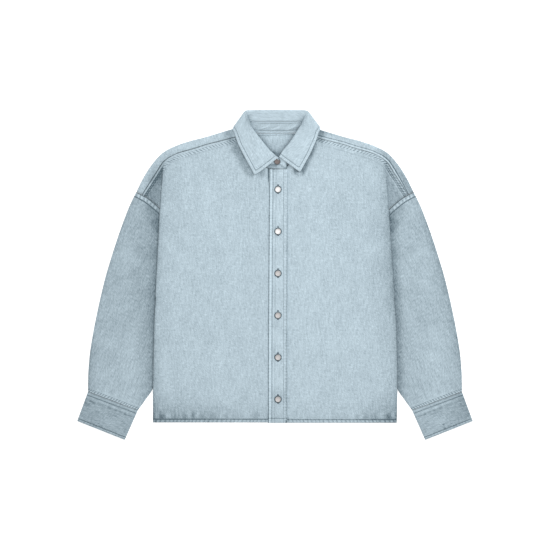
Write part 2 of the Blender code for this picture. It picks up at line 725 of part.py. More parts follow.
def build_button(name, x, y, base):
    """A turned metal button: domed rim round a shallow dished middle."""
    radius = BUTTON_DIAMETER_MM / 2
    high = BUTTON_HEIGHT_MM
    profile = (
        (0.42 * radius, 0.0),
        (0.46 * radius, 0.35 * high),
        (0.93 * radius, 0.42 * high),
        (radius, 0.62 * high),
        (0.93 * radius, 0.92 * high),
        (0.80 * radius, high),
        (0.66 * radius, 0.78 * high),
    )
    count = 18
    middle = at(x, y, base)
    points = []
    for r, z in profile:
        for k in range(count):
            turn = 2 * math.pi * k / count
            points.append(middle + np.array([r * math.cos(turn), r * math.sin(turn), z]))
    faces = []
    for ring in range(len(profile) - 1):
        for k in range(count):
            a, b = ring * count + k, ring * count + (k + 1) % count
            faces.append((a, b, b + count, a + count))
    faces.append(tuple(reversed(range(count))))
    faces.append(tuple(range((len(profile) - 1) * count, len(profile) * count)))
    add_mesh(name, points, faces, metal)


for old in list(bpy.data.objects):
    bpy.data.objects.remove(old)

denim = material("denim", DENIM)
collar_denim = material("collar_denim", COLLAR_DENIM)
cuff_denim = material("cuff_denim", CUFF_DENIM)
metal = material("button_metal", METAL, 0.35, 0.9)

build_back()
build_yoke()
build_front(right=True)
placket_strips = build_front(right=False)
placket_rows = build_placket(placket_strips)
for is_right in (False, True):
    build_sleeve(is_right)
    build_cuff(is_right)
build_stand()
build_leaf()
placket_top = placket_rows[-4][2][2] + CLOTH / 2
for number in range(6):
    button_y = FIRST_BUTTON_Y + number * BUTTON_PITCH_MM / UNIT
    build_button("button_%d" % (number + 1), BUTTON_X, button_y, placket_top + GAP)
build_button("button_stand", *STAND_BUTTON, 6.6 + DOUBLE_CLOTH / 2 + GAP)
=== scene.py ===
"""Looks of a buttoned denim shirt lying flat on its back, neck towards +Y and front up (+Z).

Plan points in the tables are read from the layout grid: x to the right and y down, UNIT millimetres a step,
with GRID_MID at the middle of the shirt. Heights are millimetres above the table. Meshes are in metres.
"""

import math

import bpy
import numpy as np
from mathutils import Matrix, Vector
from mathutils.bvhtree import BVHTree


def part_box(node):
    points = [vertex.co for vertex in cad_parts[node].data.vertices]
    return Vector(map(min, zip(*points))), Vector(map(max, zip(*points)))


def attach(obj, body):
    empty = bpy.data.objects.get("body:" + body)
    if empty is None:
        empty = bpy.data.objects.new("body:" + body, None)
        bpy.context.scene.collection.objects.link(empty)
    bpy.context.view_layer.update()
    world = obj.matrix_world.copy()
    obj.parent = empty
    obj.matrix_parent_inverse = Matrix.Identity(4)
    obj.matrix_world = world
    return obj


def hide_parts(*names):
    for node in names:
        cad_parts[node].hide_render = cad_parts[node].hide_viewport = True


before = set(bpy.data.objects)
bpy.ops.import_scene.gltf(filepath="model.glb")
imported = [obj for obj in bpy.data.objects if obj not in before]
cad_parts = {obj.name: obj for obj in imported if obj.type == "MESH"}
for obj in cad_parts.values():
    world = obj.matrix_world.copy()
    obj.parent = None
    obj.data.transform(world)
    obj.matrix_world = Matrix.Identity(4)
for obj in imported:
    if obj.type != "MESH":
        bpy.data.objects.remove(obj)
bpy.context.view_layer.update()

bpy.ops.object.select_all(action="DESELECT")

UNIT = 2.15
GRID_MID = (275.0, 274.993)
MIDLINE = 275.0  # the layout x that the two halves share
CLOTH = 1.2  # one layer of denim
YOKE_CLOTH = 1.8  # two layers, stitched as one
DOUBLE_CLOTH = 2.0  # stand and cuffs, two layers and a stiffener
LEAF_CLOTH = 1.3  # collar leaf, two layers
INSIDE = 0.25  # how far a finer sheet reaches to its hidden side, so that no two layers meet
GAP = 0.3
SEAM = 0.45  # space between two pieces that meet at a seam, in plan

TABLE = CLOTH / 2
SHOULDER_HEIGHT = 5.3  # cloth of the yoke's front strip
SLEEVE_UNDER_BODY = 2.6  # upper cloth of the sleeve where the body lies on it
SLEEVE_LOFT = 2.5  # more than that where the sleeve lies free
SLEEVE_AT_CUFF = 4.3  # upper cloth of the sleeve at its end
STACK = 3.7  # how far the sleeve and the pleat lift the cloth above them
FRONT_ABOVE_BACK = 2.0
FRONT_LOFT = 0.6
FOLD_RADIUS = 0.85
BUTTON_PITCH_MM = 90.2
BUTTON_DIAMETER_MM = 13.6

# Armhole seam of the photo-left sleeve, from the shoulder to the underarm: x, y, upper height
ARMHOLE = (
    (136.5, 191.9, 5.3),
    (142.0, 194.8, 5.3),
    (146.3, 197.1, 5.0),
    (150.7, 200.3, 4.5),
    (155.3, 204.0, 3.6),
    (160.0, 208.0, 2.8),
    (169.0, 217.0, 2.6),
    (177.0, 228.5, 2.6),
    (184.0, 243.0, 2.6),
    (188.5, 258.0, 2.6),
    (190.0, 272.0, 2.6),
)
# Shoulder: fold x, y, front seam x, y, back seam x, y, from the armhole to the neck
SHOULDER = (
    (136.5, 191.9, 142.0, 194.8, 169.0, 217.0),
    (141.2, 182.0, 148.8, 184.1, 175.0, 212.0),
    (147.3, 171.3, 155.6, 173.4, 181.5, 207.5),
    (154.5, 161.3, 162.6, 162.4, 189.0, 203.0),
    (162.5, 153.0, 168.5, 157.6, 197.0, 198.8),
    (174.0, 146.6, 178.0, 152.9, 206.0, 194.8),
    (190.0, 141.0, 193.8, 148.5, 217.0, 190.7),
    (204.5, 137.3, 206.5, 144.4, 227.5, 187.5),
    (220.0, 132.7, 222.0, 140.5, 238.0, 185.0),
    (231.5, 129.3, 234.0, 137.2, 246.0, 183.4),
    (240.0, 127.6, 243.0, 135.6, 253.0, 182.3),
)
# Back neckline beyond the shoulder: neck x, y, back seam x, y
BACK_NECK = (
    (250.0, 132.6, 258.0, 181.6),
    (262.0, 133.4, 266.0, 180.9),
    (MIDLINE, 133.6, MIDLINE, 180.5),
)
# Top edge of a front, from the side fold along the yoke seam and down the neckline:
# x, y, height if it laps over, height if it lies under
FRONT_TOP = (
    (162.6, 162.4, 5.3, 5.3),
    (168.5, 157.6, 5.3, 5.3),
    (178.0, 152.9, 5.3, 5.3),
    (186.0, 150.7, 5.3, 5.3),
    (193.8, 148.5, 5.3, 5.3),
    (200.0, 146.5, 5.3, 5.3),
    (206.5, 144.4, 5.3, 5.3),
    (214.0, 142.5, 5.3, 5.3),
    (222.0, 140.5, 5.3, 5.3),
    (234.0, 137.2, 5.3, 5.3),
    (243.0, 135.6, 5.3, 5.3),
    (247.5, 147.5, 5.2, 4.9),
    (254.0, 157.5, 4.8, 4.0),
    (262.0, 165.0, 4.5, 3.3),
    (269.5, 168.6, 4.5, 2.9),
)
FRONT_EDGE_OVER = (273.4, 278.3, 283.2, 287.2)  # columns across the placket
FRONT_EDGE_UNDER = (276.0, 282.0)
FRONT_EDGE_TOP = 169.0
# Side of the body: y, photo-left x, photo-right x (mirrored to the left)
SIDE = (
    (158.0, 162.6, 163.4),
    (168.0, 163.2, 164.1),
    (176.0, 162.4, 163.6),
    (195.0, 160.7, 162.3),
    (211.0, 159.6, 161.2),
    (248.0, 157.7, 158.9),
    (290.0, 155.7, 156.1),
    (330.0, 154.0, 153.6),
    (384.0, 153.0, 152.6),
    (423.0, 153.0, 153.2),
)
# Pleat of a front over the armhole: side y, turn at each fold, inner fold x, end x, y, z
PLEAT = (
    (162.4, 0, 0, 142.0, 194.8, 5.3),
    (170.0, 60, 0, 146.3, 197.1, 5.0),
    (180.0, 180, 167.5, 150.7, 200.3, 4.5),
    (190.0, 180, 171.5, 155.3, 204.0, 3.6),
    (200.0, 180, 176.0, 160.0, 208.0, 2.8),
    (210.0, 180, 182.0, 169.0, 217.0, 2.6),
    (221.0, 180, 188.5, 177.0, 228.5, 2.6),
    (236.0, 180, 195.0, 184.0, 243.0, 2.6),
    (254.0, 180, 198.0, 188.5, 258.0, 2.6),
    (272.0, 180, 195.0, 190.6, 271.5, 2.8),
    (274.5, 180, 0, 190.5, 275.0, 4.6),
    (283.0, 180, 0, 181.0, 286.0, 4.4),
    (291.0, 180, 0, 170.0, 293.5, 4.3),
    (297.5, 180, 0, 161.5, 298.3, 4.3),
)
FIRST_FLAT_SEAM = 10  # from this pleat row on, the under layer ends at the side seam
LEVEL_ROW = 8  # down to this row the rows follow the shoulder, below it they are level
FRONT_ROWS = (308.0, 320.0, 334.0, 348.0, 362.0, 376.0, 390.0, 402.0, 412.0)
HEM = (422.4, 422.8)  # photo left, photo right
# Side boundary of the back under the armhole, and the y of the same row at the centre
BACK_SIDE = (
    (169.0, 217.0, 180.5),
    (177.0, 228.5, 198.0),
    (184.0, 243.0, 216.0),
    (188.5, 258.0, 233.0),
    (191.6, 271.0, 246.0),
    (192.4, 279.0, 258.0),
    (182.3, 287.1, 270.0),
    (170.8, 294.4, 282.0),
    (160.8, 300.2, 295.0),
)
BACK_ROWS = (308.0, 322.0, 338.0, 354.0, 370.0, 386.0, 398.0, 410.0)
BACK_HEM = 421.2
# Inner edge of the sleeve: y, x
SLEEVE_INNER = (
    (272.0, 190.0),
    (300.0, 183.0),
    (322.0, 177.5),
    (345.0, 171.0),
    (367.0, 162.6),
    (390.0, 152.4),
    (410.6, 137.7),
)
# Outer edge of the sleeve: y, x
SLEEVE_OUTER = (
    (191.9, 136.5),
    (204.0, 130.2),
    (220.0, 124.0),
    (236.0, 118.2),
    (255.0, 112.0),
    (275.0, 106.0),
    (299.0, 100.0),
    (328.0, 94.0),
    (350.0, 90.2),
    (372.0, 88.2),
    (392.0, 87.9),
)
# Where the lifted cloth falls back to the middle: y, x
LIFT_EDGE = (
    (160.0, 176.0),
    (168.0, 187.0),
    (180.0, 190.0),
    (200.0, 197.0),
    (221.0, 210.0),
    (236.0, 216.5),
    (250.0, 218.8),
    (265.0, 217.5),
    (282.0, 212.0),
    (300.0, 203.5),
    (322.0, 197.5),
    (345.0, 191.0),
    (367.0, 182.6),
    (390.0, 172.4),
    (410.6, 157.7),
    (423.0, 149.0),
)
BACK_FADE = 20.0  # how far it takes, on the back and on the fronts
FRONT_FADE = 50.0
# Cuff corners: outer top, inner top, inner bottom, outer bottom
CUFF = ((87.9, 392.0), (137.7, 410.6), (124.8, 439.8), (77.2, 421.0))
# The sleeve's gathers at the cuff
GATHER_LENGTH = 17.0
GATHER_HEIGHT = 0.55
LEAF_CROWN = 2.2  # how far the leaf's face arches above a straight line from its roll to its edge

# Collar stations from the photo-left front edge round the back to the photo-right front edge:
# stand seam x, y, z, stand top x, y, z
STAND = (
    (286.8, 168.7, 5.4, 286.8, 158.6, 6.6),
    (282.0, 168.7, 5.4, 282.2, 157.4, 6.6),
    (276.5, 168.7, 5.4, 276.6, 157.6, 6.5),
    (269.6, 168.3, 5.4, 268.7, 151.6, 7.2),
    (262.1, 164.7, 5.3, 262.4, 144.5, 9.0),
    (254.2, 157.3, 5.4, 256.9, 137.3, 11.4),
    (247.8, 147.3, 5.5, 252.6, 131.0, 13.8),
    (243.4, 135.6, 5.6, 250.3, 126.2, 16.0),
    (242.0, 129.4, 4.2, 250.4, 123.6, 16.4),
    (244.6, 129.6, 2.2, 252.4, 122.4, 16.6),
    (250.4, 131.8, 1.5, 256.2, 122.1, 16.8),
    (262.0, 133.1, 1.5, 265.4, 122.4, 16.6),
    (275.8, 133.3, 1.5, 276.2, 122.4, 16.4),
    (288.0, 133.1, 1.5, 287.0, 122.4, 16.6),
    (299.6, 131.8, 1.5, 296.0, 122.1, 16.8),
    (305.4, 129.6, 2.2, 299.4, 122.4, 16.6),
    (308.0, 129.4, 4.2, 301.4, 123.6, 16.4),
    (306.6, 135.6, 5.6, 301.5, 126.2, 16.0),
    (302.2, 147.3, 5.3, 298.9, 131.0, 13.8),
    (295.8, 157.3, 4.3, 295.0, 137.4, 11.2),
    (287.9, 164.7, 3.1, 290.2, 145.4, 7.4),
    (280.4, 168.3, 2.9, 284.3, 152.6, 4.0),
    (274.6, 168.7, 2.9, 279.2, 157.3, 2.9),
    (268.6, 168.7, 2.9, 268.8, 158.4, 2.9),
)
# Leaf: stand station, roll x, y, z, outer edge x, y, z, half the thickness of the fold
LEAF = (
    (2.0, 276.7, 155.2, 8.2, 255.7, 173.4, 6.8, 1.6),
    (3.0, 269.9, 149.6, 9.8, 250.4, 163.0, 7.0, 1.6),
    (4.0, 264.1, 142.9, 11.6, 245.1, 152.3, 7.2, 1.7),
    (5.0, 259.4, 137.1, 13.9, 241.2, 144.2, 7.4, 1.8),
    (6.0, 254.9, 131.6, 16.2, 237.8, 137.4, 7.6, 1.9),
    (7.0, 249.4, 123.2, 21.0, 235.3, 132.4, 7.6, 1.8),
    (7.4, 247.0, 117.4, 22.0, 233.9, 131.0, 7.6, 1.8),
    (7.8, 245.3, 113.6, 22.7, 233.0, 129.6, 7.2, 1.8),
    (8.2, 245.2, 112.0, 23.0, 233.6, 127.0, 6.0, 1.8),
    (8.6, 246.6, 111.1, 23.2, 236.4, 124.8, 4.6, 2.0),
    (9.2, 249.8, 110.8, 23.5, 240.6, 124.6, 3.4, 2.0),
    (10.0, 254.0, 110.7, 24.0, 246.5, 126.6, 2.4, 2.0),
    (11.0, 264.0, 110.6, 24.2, 261.0, 129.8, 1.6, 2.0),
    (12.0, 276.3, 110.6, 24.2, 276.3, 129.9, 1.6, 2.0),
    (13.0, 288.6, 110.6, 24.2, 291.6, 129.8, 1.6, 2.0),
    (14.0, 298.5, 110.7, 24.0, 306.1, 126.6, 2.4, 2.0),
    (14.8, 302.8, 110.8, 23.5, 312.2, 124.2, 3.4, 2.0),
    (15.4, 306.2, 111.1, 23.2, 316.6, 124.4, 4.6, 2.0),
    (15.8, 307.7, 112.0, 23.0, 319.6, 126.6, 6.0, 1.8),
    (16.2, 307.4, 113.6, 22.7, 320.2, 129.2, 7.2, 1.8),
    (16.6, 305.2, 117.2, 22.0, 319.2, 130.9, 7.6, 1.8),
    (17.0, 302.2, 123.2, 21.0, 317.8, 132.2, 7.6, 1.8),
    (18.0, 296.6, 131.6, 16.0, 315.2, 137.6, 7.6, 1.9),
    (19.0, 292.9, 137.5, 13.8, 311.9, 144.4, 7.4, 1.8),
    (20.0, 287.8, 144.4, 11.2, 307.8, 152.8, 7.2, 1.9),
    (21.0, 282.2, 151.2, 9.2, 303.2, 162.6, 7.0, 2.3),
    (22.0, 279.3, 155.0, 6.2, 299.0, 171.4, 7.0, 2.7),
)
BUTTON_X = 278.0
FIRST_BUTTON_Y = 189.5
BUTTONS = 6
BUTTON_ROWS = [FIRST_BUTTON_Y + number * BUTTON_PITCH_MM / UNIT for number in range(BUTTONS)]

# The darkest and the palest wash as linear colours, and the two display reds that tones are set between
WASH_DARK = (0.062, 0.099, 0.123)
WASH_LIGHT = (0.523, 0.638, 0.707)
DARK_RED, PALE_RED = 80, 215
# Soft folds on each front, with their light and shade painted into the cloth's colour, in the layout of the
# photo-left half:
# x, y, x, y, width in layout steps, height in millimetres, how much lighter
CREASES_OVER = (
    (210, 152.4, 246, 150.0, 0.7, -0.3, -13),
    (214, 148.6, 243, 147.6, 1.2, 0.3, 4),
    (231, 153, 247, 154.6, 1.3, -0.3, -12),
    (163, 240, 196, 268, 4.0, 0.7, 6),
    (160, 262, 188, 300, 5.0, 0.5, 5),
    (205, 170, 222, 250, 9.0, 0.5, 4),
    (238, 190, 244, 330, 7.0, 0.5, 3),
    (180, 310, 230, 345, 8.0, 0.4, -3),
    (160, 330, 176, 412, 6.0, 0.5, 4),
    (222, 330, 228, 412, 9.0, 0.4, 3),
    (200, 236, 236, 262, 8.0, 0.4, -3),
)
CREASES_UNDER = (
    (165, 238, 192, 262, 4.0, 0.7, 6),
    (160, 266, 184, 306, 5.0, 0.5, 4),
    (210, 172, 218, 246, 8.0, 0.5, -4),
    (232, 200, 246, 320, 8.0, 0.5, 3),
    (176, 318, 226, 352, 8.0, 0.4, 3),
    (166, 340, 180, 410, 7.0, 0.4, 4),
    (214, 336, 222, 410, 9.0, 0.4, -3),
)
# The same on each sleeve's upper cloth
CREASES_SLEEVE_RIGHT = (
    (118, 250, 150, 268, 4.0, 0.7, 7),
    (112, 280, 150, 262, 5.0, 0.6, -6),
    (104, 312, 140, 300, 4.0, 0.6, 6),
    (100, 340, 136, 352, 5.0, 0.7, 7),
    (96, 372, 128, 340, 4.0, 0.6, -6),
    (126, 225, 132, 300, 6.0, 0.6, 6),
)
CREASES_SLEEVE_LEFT = (
    (116, 246, 152, 262, 4.0, 0.7, 6),
    (108, 290, 146, 270, 5.0, 0.6, 5),
    (100, 322, 138, 316, 4.0, 0.6, -6),
    (96, 352, 134, 360, 5.0, 0.7, 6),
    (128, 222, 126, 296, 6.0, 0.6, 5),
)
# The same on the cuffs, and on the back panel
CREASES_CUFF_RIGHT = (
    (83.6, 400.8, 89.4, 405.4, 0.9, -0.3, -40),
    (88.8, 399.8, 96.4, 404.2, 0.9, -0.3, -42),
    (108, 412, 120, 417, 1.6, 0.3, -9),
    (95, 416, 121, 426, 3.0, 0.4, 5),
)
CREASES_CUFF_LEFT = (
    (105.0, 423.8, 108.2, 424.8, 0.8, -0.3, -62),
    (103.8, 427.2, 107.0, 428.4, 0.8, -0.3, -55),
    (106, 409, 122, 414, 1.6, 0.3, -10),
    (90, 404, 104, 410, 2.0, 0.3, -7),
    (100, 417, 118, 423, 3.0, 0.4, 6),
)
CREASES_BACK = (
    (196, 262, 232, 300, 6.0, -1.0, 5),
    (354, 262, 318, 300, 6.0, -1.0, 5),
    (238, 215, 246, 330, 9.0, 1.0, -4),
    (312, 215, 304, 330, 9.0, -1.0, 4),
    (170, 340, 230, 372, 9.0, 1.0, 4),
    (380, 340, 320, 372, 9.0, 1.0, -4),
)
# The same on the stand where it shows inside the neck, with the painted shade of its wrinkles
CREASES_STAND = (
    (256, 128.8, 271, 124.6, 0.7, 1.0, 22),
    (258, 129.6, 268, 127.2, 0.6, -1.0, -26),
    (268, 129.2, 284, 124.4, 0.8, 1.0, 20),
    (264, 127.4, 280, 125.6, 0.6, -1.0, -24),
    (284, 129.4, 298, 124.2, 0.7, 1.0, 20),
    (288, 129.8, 299, 126.4, 0.7, -1.0, -28),
    (272, 129.6, 290, 127.6, 0.5, -1.0, -9),
    (254, 125.6, 262, 129.4, 0.9, -0.5, -16),
    (294, 130.0, 303, 123.6, 1.0, -0.5, -20),
    (276, 125.2, 296, 125.0, 0.5, -0.5, -10),
)
# Collar leaf, in layout steps. How far its outer edge flares at a station, to the right and down
LEAF_FLARE = (
    (0, (-1.2, 1.6)), (1, (-2.3, 0.2)), (2, (-2.8, 0)), (3, (-2.9, 0)), (4, (-2.0, 0)), (5, (-1.1, 0)),
    (6, (-0.4, 0)), (20, (0.4, 0)), (21, (0.9, 0)), (22, (1.9, 0)), (23, (2.4, 0)), (24, (2.8, 0)),
    (25, (2.2, 0)), (26, (1.0, 0.6)),
)
# How far its inner edge moves at a station: right, down, up, fading slowly outwards, then down, up, evenly.
LEAF_MEETING = (
    (0, (2.3, 2.6, 0.15, 0.6, 2.8)),
    (1, (0.2, 0.6, 0.15, 0, 0.1)),
    (26, (-0.6, 1.0, 0.15, 1.7, 2.4)),
)
# Soft spots of painted shade on the left front, on the lapping one and on the placket:
# layout x, y, width, height, how much lighter
UNDER_SHADE_SPOTS = ((262.5, 165, 1.0, 2.2, -110), (262.2, 418.8, 0.8, 1.5, -70), (160, 166, 9, 9, -12))
OVER_SHADE_SPOTS = ((238, 160, 6, 9, 5), (266, 167, 4, 4, -8))
PLACKET_SHADE_SPOTS = ((274.5, 169.5, 3.5, 2.5, -20), (286.2, 421.6, 1.0, 0.8, -70))

YOKE_SEAM = [(row[2], row[3]) for row in SHOULDER]
ARM_SEAM = [(row[0], row[1]) for row in ARMHOLE]
CUFF_TOP, CUFF_FOOT = [CUFF[0], CUFF[1]], [CUFF[3], CUFF[2]]
PLACKET_EDGE_X = 268.4  # where the placket's inner edge lies on the lapping front

# How long the steps of the finer sheets are
FRONT_STEP = 2.6
PLEAT_STEP = 3.0
YOKE_STEP = 4.0
SHOULDER_STEP = 2.2
YOKE_FRONT_ABOVE = 2.5  # the yoke's cloth higher than this lies in front of the fold
DISTANCES = ("edge", "hem", "lap", "ring")  # fields that hold a distance, FAR unless a piece says otherwise
FAR = 50.0

PUCKER_LENGTH = 7
STITCH = 2.6
STITCH_PITCH = 3.5
TWILL_PITCH = 0.95
THREAD_SINK = 0.12  # how far a thread reaches into the cloth
THREAD_DROP = 1.5  # a thread's ends differ less in height
ABOVE_ALL = 60.0

# A button turned from its foot to its face: share of its radius, height
BUTTON_PROFILE = (
    (0.42, 0.0), (0.46, 0.9), (0.93, 1.05), (1.0, 1.5), (0.99, 2.0), (0.93, 2.35),
    (0.86, 2.52), (0.78, 2.5), (0.72, 2.3), (0.66, 2.12), (0.3, 2.04),
)
BUTTON_FACE = 0.86  # share of the radius that is face, not rim
HOLE_END = 4.2  # from a button's middle to the end of its hole, in layout steps

# Floor, light and camera, in metres and watts
FLOOR_SIZE = 30
FLOOR_GAP = 0.0006
FLOOR_GLOW = 0.4
SKY_STRENGTH = 0.62
LAMPS = (
    ("soft_light_above", (0.1, 0.4, 2.4), 2.4, 38.0),
    ("soft_light_right", (1.7, 1.2, 1.9), 1.2, 20.0),
)
LENS_MM = 200
SENSOR_MM = 36
CAMERA_HEIGHT = 6.574


def plan(x, y):
    """Layout grid to millimetres."""
    return np.array([(x - GRID_MID[0]) * UNIT, (GRID_MID[1] - y) * UNIT])


def at(x, y, z):
    """A point in millimetres from layout x, y and a height."""
    return np.append(plan(x, y), z)


def soft(t):
    """A soft step from 0 to 1 while t goes from 0 to 1."""
    t = np.clip(t, 0, 1)
    return t * t * (3 - 2 * t)


def look_up(table, key, column=1):
    """A column of a table at this value of its first column."""
    rows = np.array(table)
    return np.interp(key, rows[:, 0], rows[:, column])


def mirrored(p):
    """The same point on the photo-right half."""
    middle = plan(MIDLINE, 0)[0]
    return np.array([2 * middle - p[0], p[1], p[2]])


def lift(x, y, fade):
    """0 where the cloth lies low, 1 where it lies on the sleeve."""
    full = look_up(LIFT_EDGE, y) - BACK_FADE
    return soft((full + fade - x) / fade)


def back_height(x, y):
    """Middle of the back panel's cloth, which rises over the sleeve."""
    if y >= 300:
        return TABLE + STACK * lift(x, y, BACK_FADE)
    width = 8 + 12 * soft((y - 276) / 24)
    edge = look_up(SLEEVE_INNER, y) + 5 + width
    return TABLE + STACK * soft((edge - x) / width) * soft((y - 270.8) / 8.3)


def front_height(x, y, right, side_x):
    """Middle of the front's cloth; x is mirrored to the left on the photo-right half."""
    under = TABLE + STACK * lift(x, y, FRONT_FADE)
    middle = 0.6 if right else 2.2
    loft = FRONT_LOFT * soft((x - side_x - 3) / 20)
    loft += (middle - FRONT_LOFT) * soft((x - 240) / 22)
    return under + FRONT_ABOVE_BACK + loft


def front_point(column, row_y, right):
    """A point of the front's main layer, and how far down its column it is from 0 to 1."""
    over = not right
    edge = FRONT_EDGE_OVER if over else FRONT_EDGE_UNDER
    tops = list(FRONT_TOP) + [(x, FRONT_EDGE_TOP, 4.5, 2.9) for x in edge]
    top_x, top_y, over_z, under_z = tops[column]
    start_x, start_y = FRONT_TOP[0][:2]
    centre_x = edge[-1]
    side_x = look_up(SIDE, row_y, 2 if right else 1)
    side_x = start_x + (side_x - start_x) * soft((row_y - start_y) / 6)
    share = (top_x - start_x) / (centre_x - start_x)
    x = side_x + share * (centre_x - side_x)
    level_y = PLEAT[LEVEL_ROW][0]
    down = min((row_y - start_y) / (level_y - start_y), 1.0)
    y = row_y if row_y > level_y else top_y + down * (level_y - top_y)
    seam_z = under_z if right else over_z
    blend = soft((y - top_y) / 26)
    z = seam_z + (front_height(x, y, right, side_x) - seam_z) * blend
    return x, y, z


def step_along(start, heading, turn, count, chord):
    """Points of a bend: count chords that turn by this many degrees in all."""
    found = []
    here = np.array(start, float)
    for k in range(count):
        angle = math.radians(heading + turn * (k + 0.5) / count)
        here = here + chord * np.array([math.cos(angle), math.sin(angle)])
        found.append(here)
    return found


def pleat_row(row, main):
    """Points beyond the side fold for one row: first fold, under layer, second fold, sleeve-side layer."""
    _, turn, inner_x, end_x, end_y, end_z = PLEAT[row]
    chord = 2 * FOLD_RADIUS * math.sin(math.radians(22.5))
    start = plan(main[0], main[1])[0]
    end = at(end_x, end_y, end_z)
    flat_seam = row >= FIRST_FLAT_SEAM
    path = step_along((start, main[2]), 180, turn, 4, chord)
    if flat_seam:
        run = end[0] - path[-1][0] - 4 * chord - 1.5
    elif turn == 180:
        run = plan(inner_x, 0)[0] - path[-1][0] - FOLD_RADIUS
    else:
        run = 0.5
    heading = math.radians(180 + turn)
    direction = np.array([math.cos(heading), math.sin(heading)])
    path.append(path[-1] + direction * run / 2)
    path.append(path[-1] + direction * run / 2)
    path += step_along(path[-1], 180 + turn, 0 if flat_seam else -turn, 4, chord)
    last = path[-1]
    for k in range(1, 4):
        part = k / 3
        path.append(last + (np.array([end[0], end[2]]) - last) * part)
    steps = np.diff([np.array((start, main[2]))] + path, axis=0)
    lengths = np.cumsum(np.linalg.norm(steps, axis=1))
    lengths = lengths / lengths[-1]
    start_y = plan(main[0], main[1])[1]
    return [np.array([p[0], start_y + (end[1] - start_y) * share, p[1]]) for p, share in zip(path, lengths)]


def shoulder_column(station):
    """Rows of the yoke at one shoulder station: front seam, fold, back seam."""
    fold_x, fold_y, front_x, front_y, back_x, back_y = SHOULDER[station]
    low = YOKE_CLOTH / 2
    radius = (SHOULDER_HEIGHT - low) / 2
    fold, front, back = plan(fold_x, fold_y), plan(front_x, front_y), plan(back_x, back_y)
    inward = (front - fold) / np.linalg.norm(front - fold)
    centre = fold + inward * (radius + YOKE_CLOTH / 2)
    rows = [np.append(front, SHOULDER_HEIGHT), np.append((front + centre) / 2, SHOULDER_HEIGHT)]
    for angle in range(0, 181, 45):
        out = math.sin(math.radians(angle)) * radius
        height = low + radius + math.cos(math.radians(angle)) * radius
        rows.append(np.append(centre - inward * out, height))
    if station == 0:
        rows += [np.append(plan(x, y), low) for x, y, _ in ARMHOLE[2:7]]
    else:
        rows += [np.append(centre + (back - centre) * k / 5, low) for k in range(1, 6)]
    return rows


def sleeve_height(x, side_x):
    """Upper cloth of the sleeve, away from its ends."""
    return SLEEVE_UNDER_BODY + SLEEVE_LOFT * soft((side_x - 1 - x) / 13)


def touch_angle(reach, half):
    """Angle from the outward direction at which a line from this point (out, aside) meets the circle."""
    distance = max(np.linalg.norm(reach), half * 1.02)
    return math.atan2(reach[1], reach[0]) - math.acos(half / distance)


def leaf_rows():
    """The leaf runs from the stand's top over the roll line and down again, with a round bend at the roll."""
    stand = np.array(STAND)
    rolls = np.array([at(*row[1:4]) for row in LEAF])
    rows = []
    for r, (station, _, roll_y, _, edge_x, edge_y, edge_z, half) in enumerate(LEAF):
        values = [np.interp(station, range(len(stand)), stand[:, k]) for k in range(6)]
        seam, top = at(*values[:3]), at(*values[3:])
        rise = (top - seam) / np.linalg.norm(top - seam)
        start = top + rise * 1.15 + np.array([0, 0, 0.45])
        roll, outer = rolls[r], at(edge_x, edge_y, edge_z)
        along = rolls[min(r + 1, len(rolls) - 1)] - rolls[max(r - 1, 0)]
        along = along / np.linalg.norm(along)
        level = soft((abs(abs(station - 12.0) - 4.5) - 0.6) / 0.5)
        legs = []
        for end in (start, outer):
            leg = end - roll
            leg = leg - along * np.dot(leg, along) * level
            legs.append(leg)
        ways = [leg / np.linalg.norm(leg) for leg in legs]
        inward = (ways[0] + ways[1]) / np.linalg.norm(ways[0] + ways[1])
        apart = legs[0] - inward * np.dot(legs[0], inward)
        apart = apart / np.linalg.norm(apart)
        centre = roll + inward * half
        reaches = []
        for leg, sign in zip(legs, (1, -1)):
            reach = leg - inward * half
            reaches.append((-np.dot(reach, inward), sign * np.dot(reach, apart)))
        first, last = touch_angle(reaches[0], half), -touch_angle(reaches[1], half)
        bend = []
        for k in range(5):
            turn = first + (last - first) * k / 4
            bend.append(centre + half * (math.sin(turn) * apart - math.cos(turn) * inward))
        row = [start, (start + bend[0]) / 2] + bend
        crown = np.array([0, 0, LEAF_CROWN * (roll_y > 113) * (edge_z > 5)])
        for k in range(1, 6):
            row.append(bend[-1] + (outer - bend[-1]) * k / 5 + crown * math.sin(math.pi * k / 5))
        rows.append(row)
    return np.array(rows)


def even_slope(before, after, length_before, length_after):
    """Slope where two spans meet that keeps the curve from swinging past its points."""
    same = before * after > 1e-12
    weight = 2 * length_after + length_before
    other = length_after + 2 * length_before
    safe_before, safe_after = np.where(same, before, 1.0), np.where(same, after, 1.0)
    return np.where(same, (weight + other) / (weight / safe_before + other / safe_after), 0.0)


def counts_for(points, step, close=False):
    """How many steps near this length go between neighbouring rows."""
    follow = np.concatenate([points, points[:1]]) if close else np.array(points)
    chords = np.linalg.norm(np.diff(follow, axis=0), axis=-1).mean(axis=1)
    return [max(1, round(chord / step)) for chord in chords]


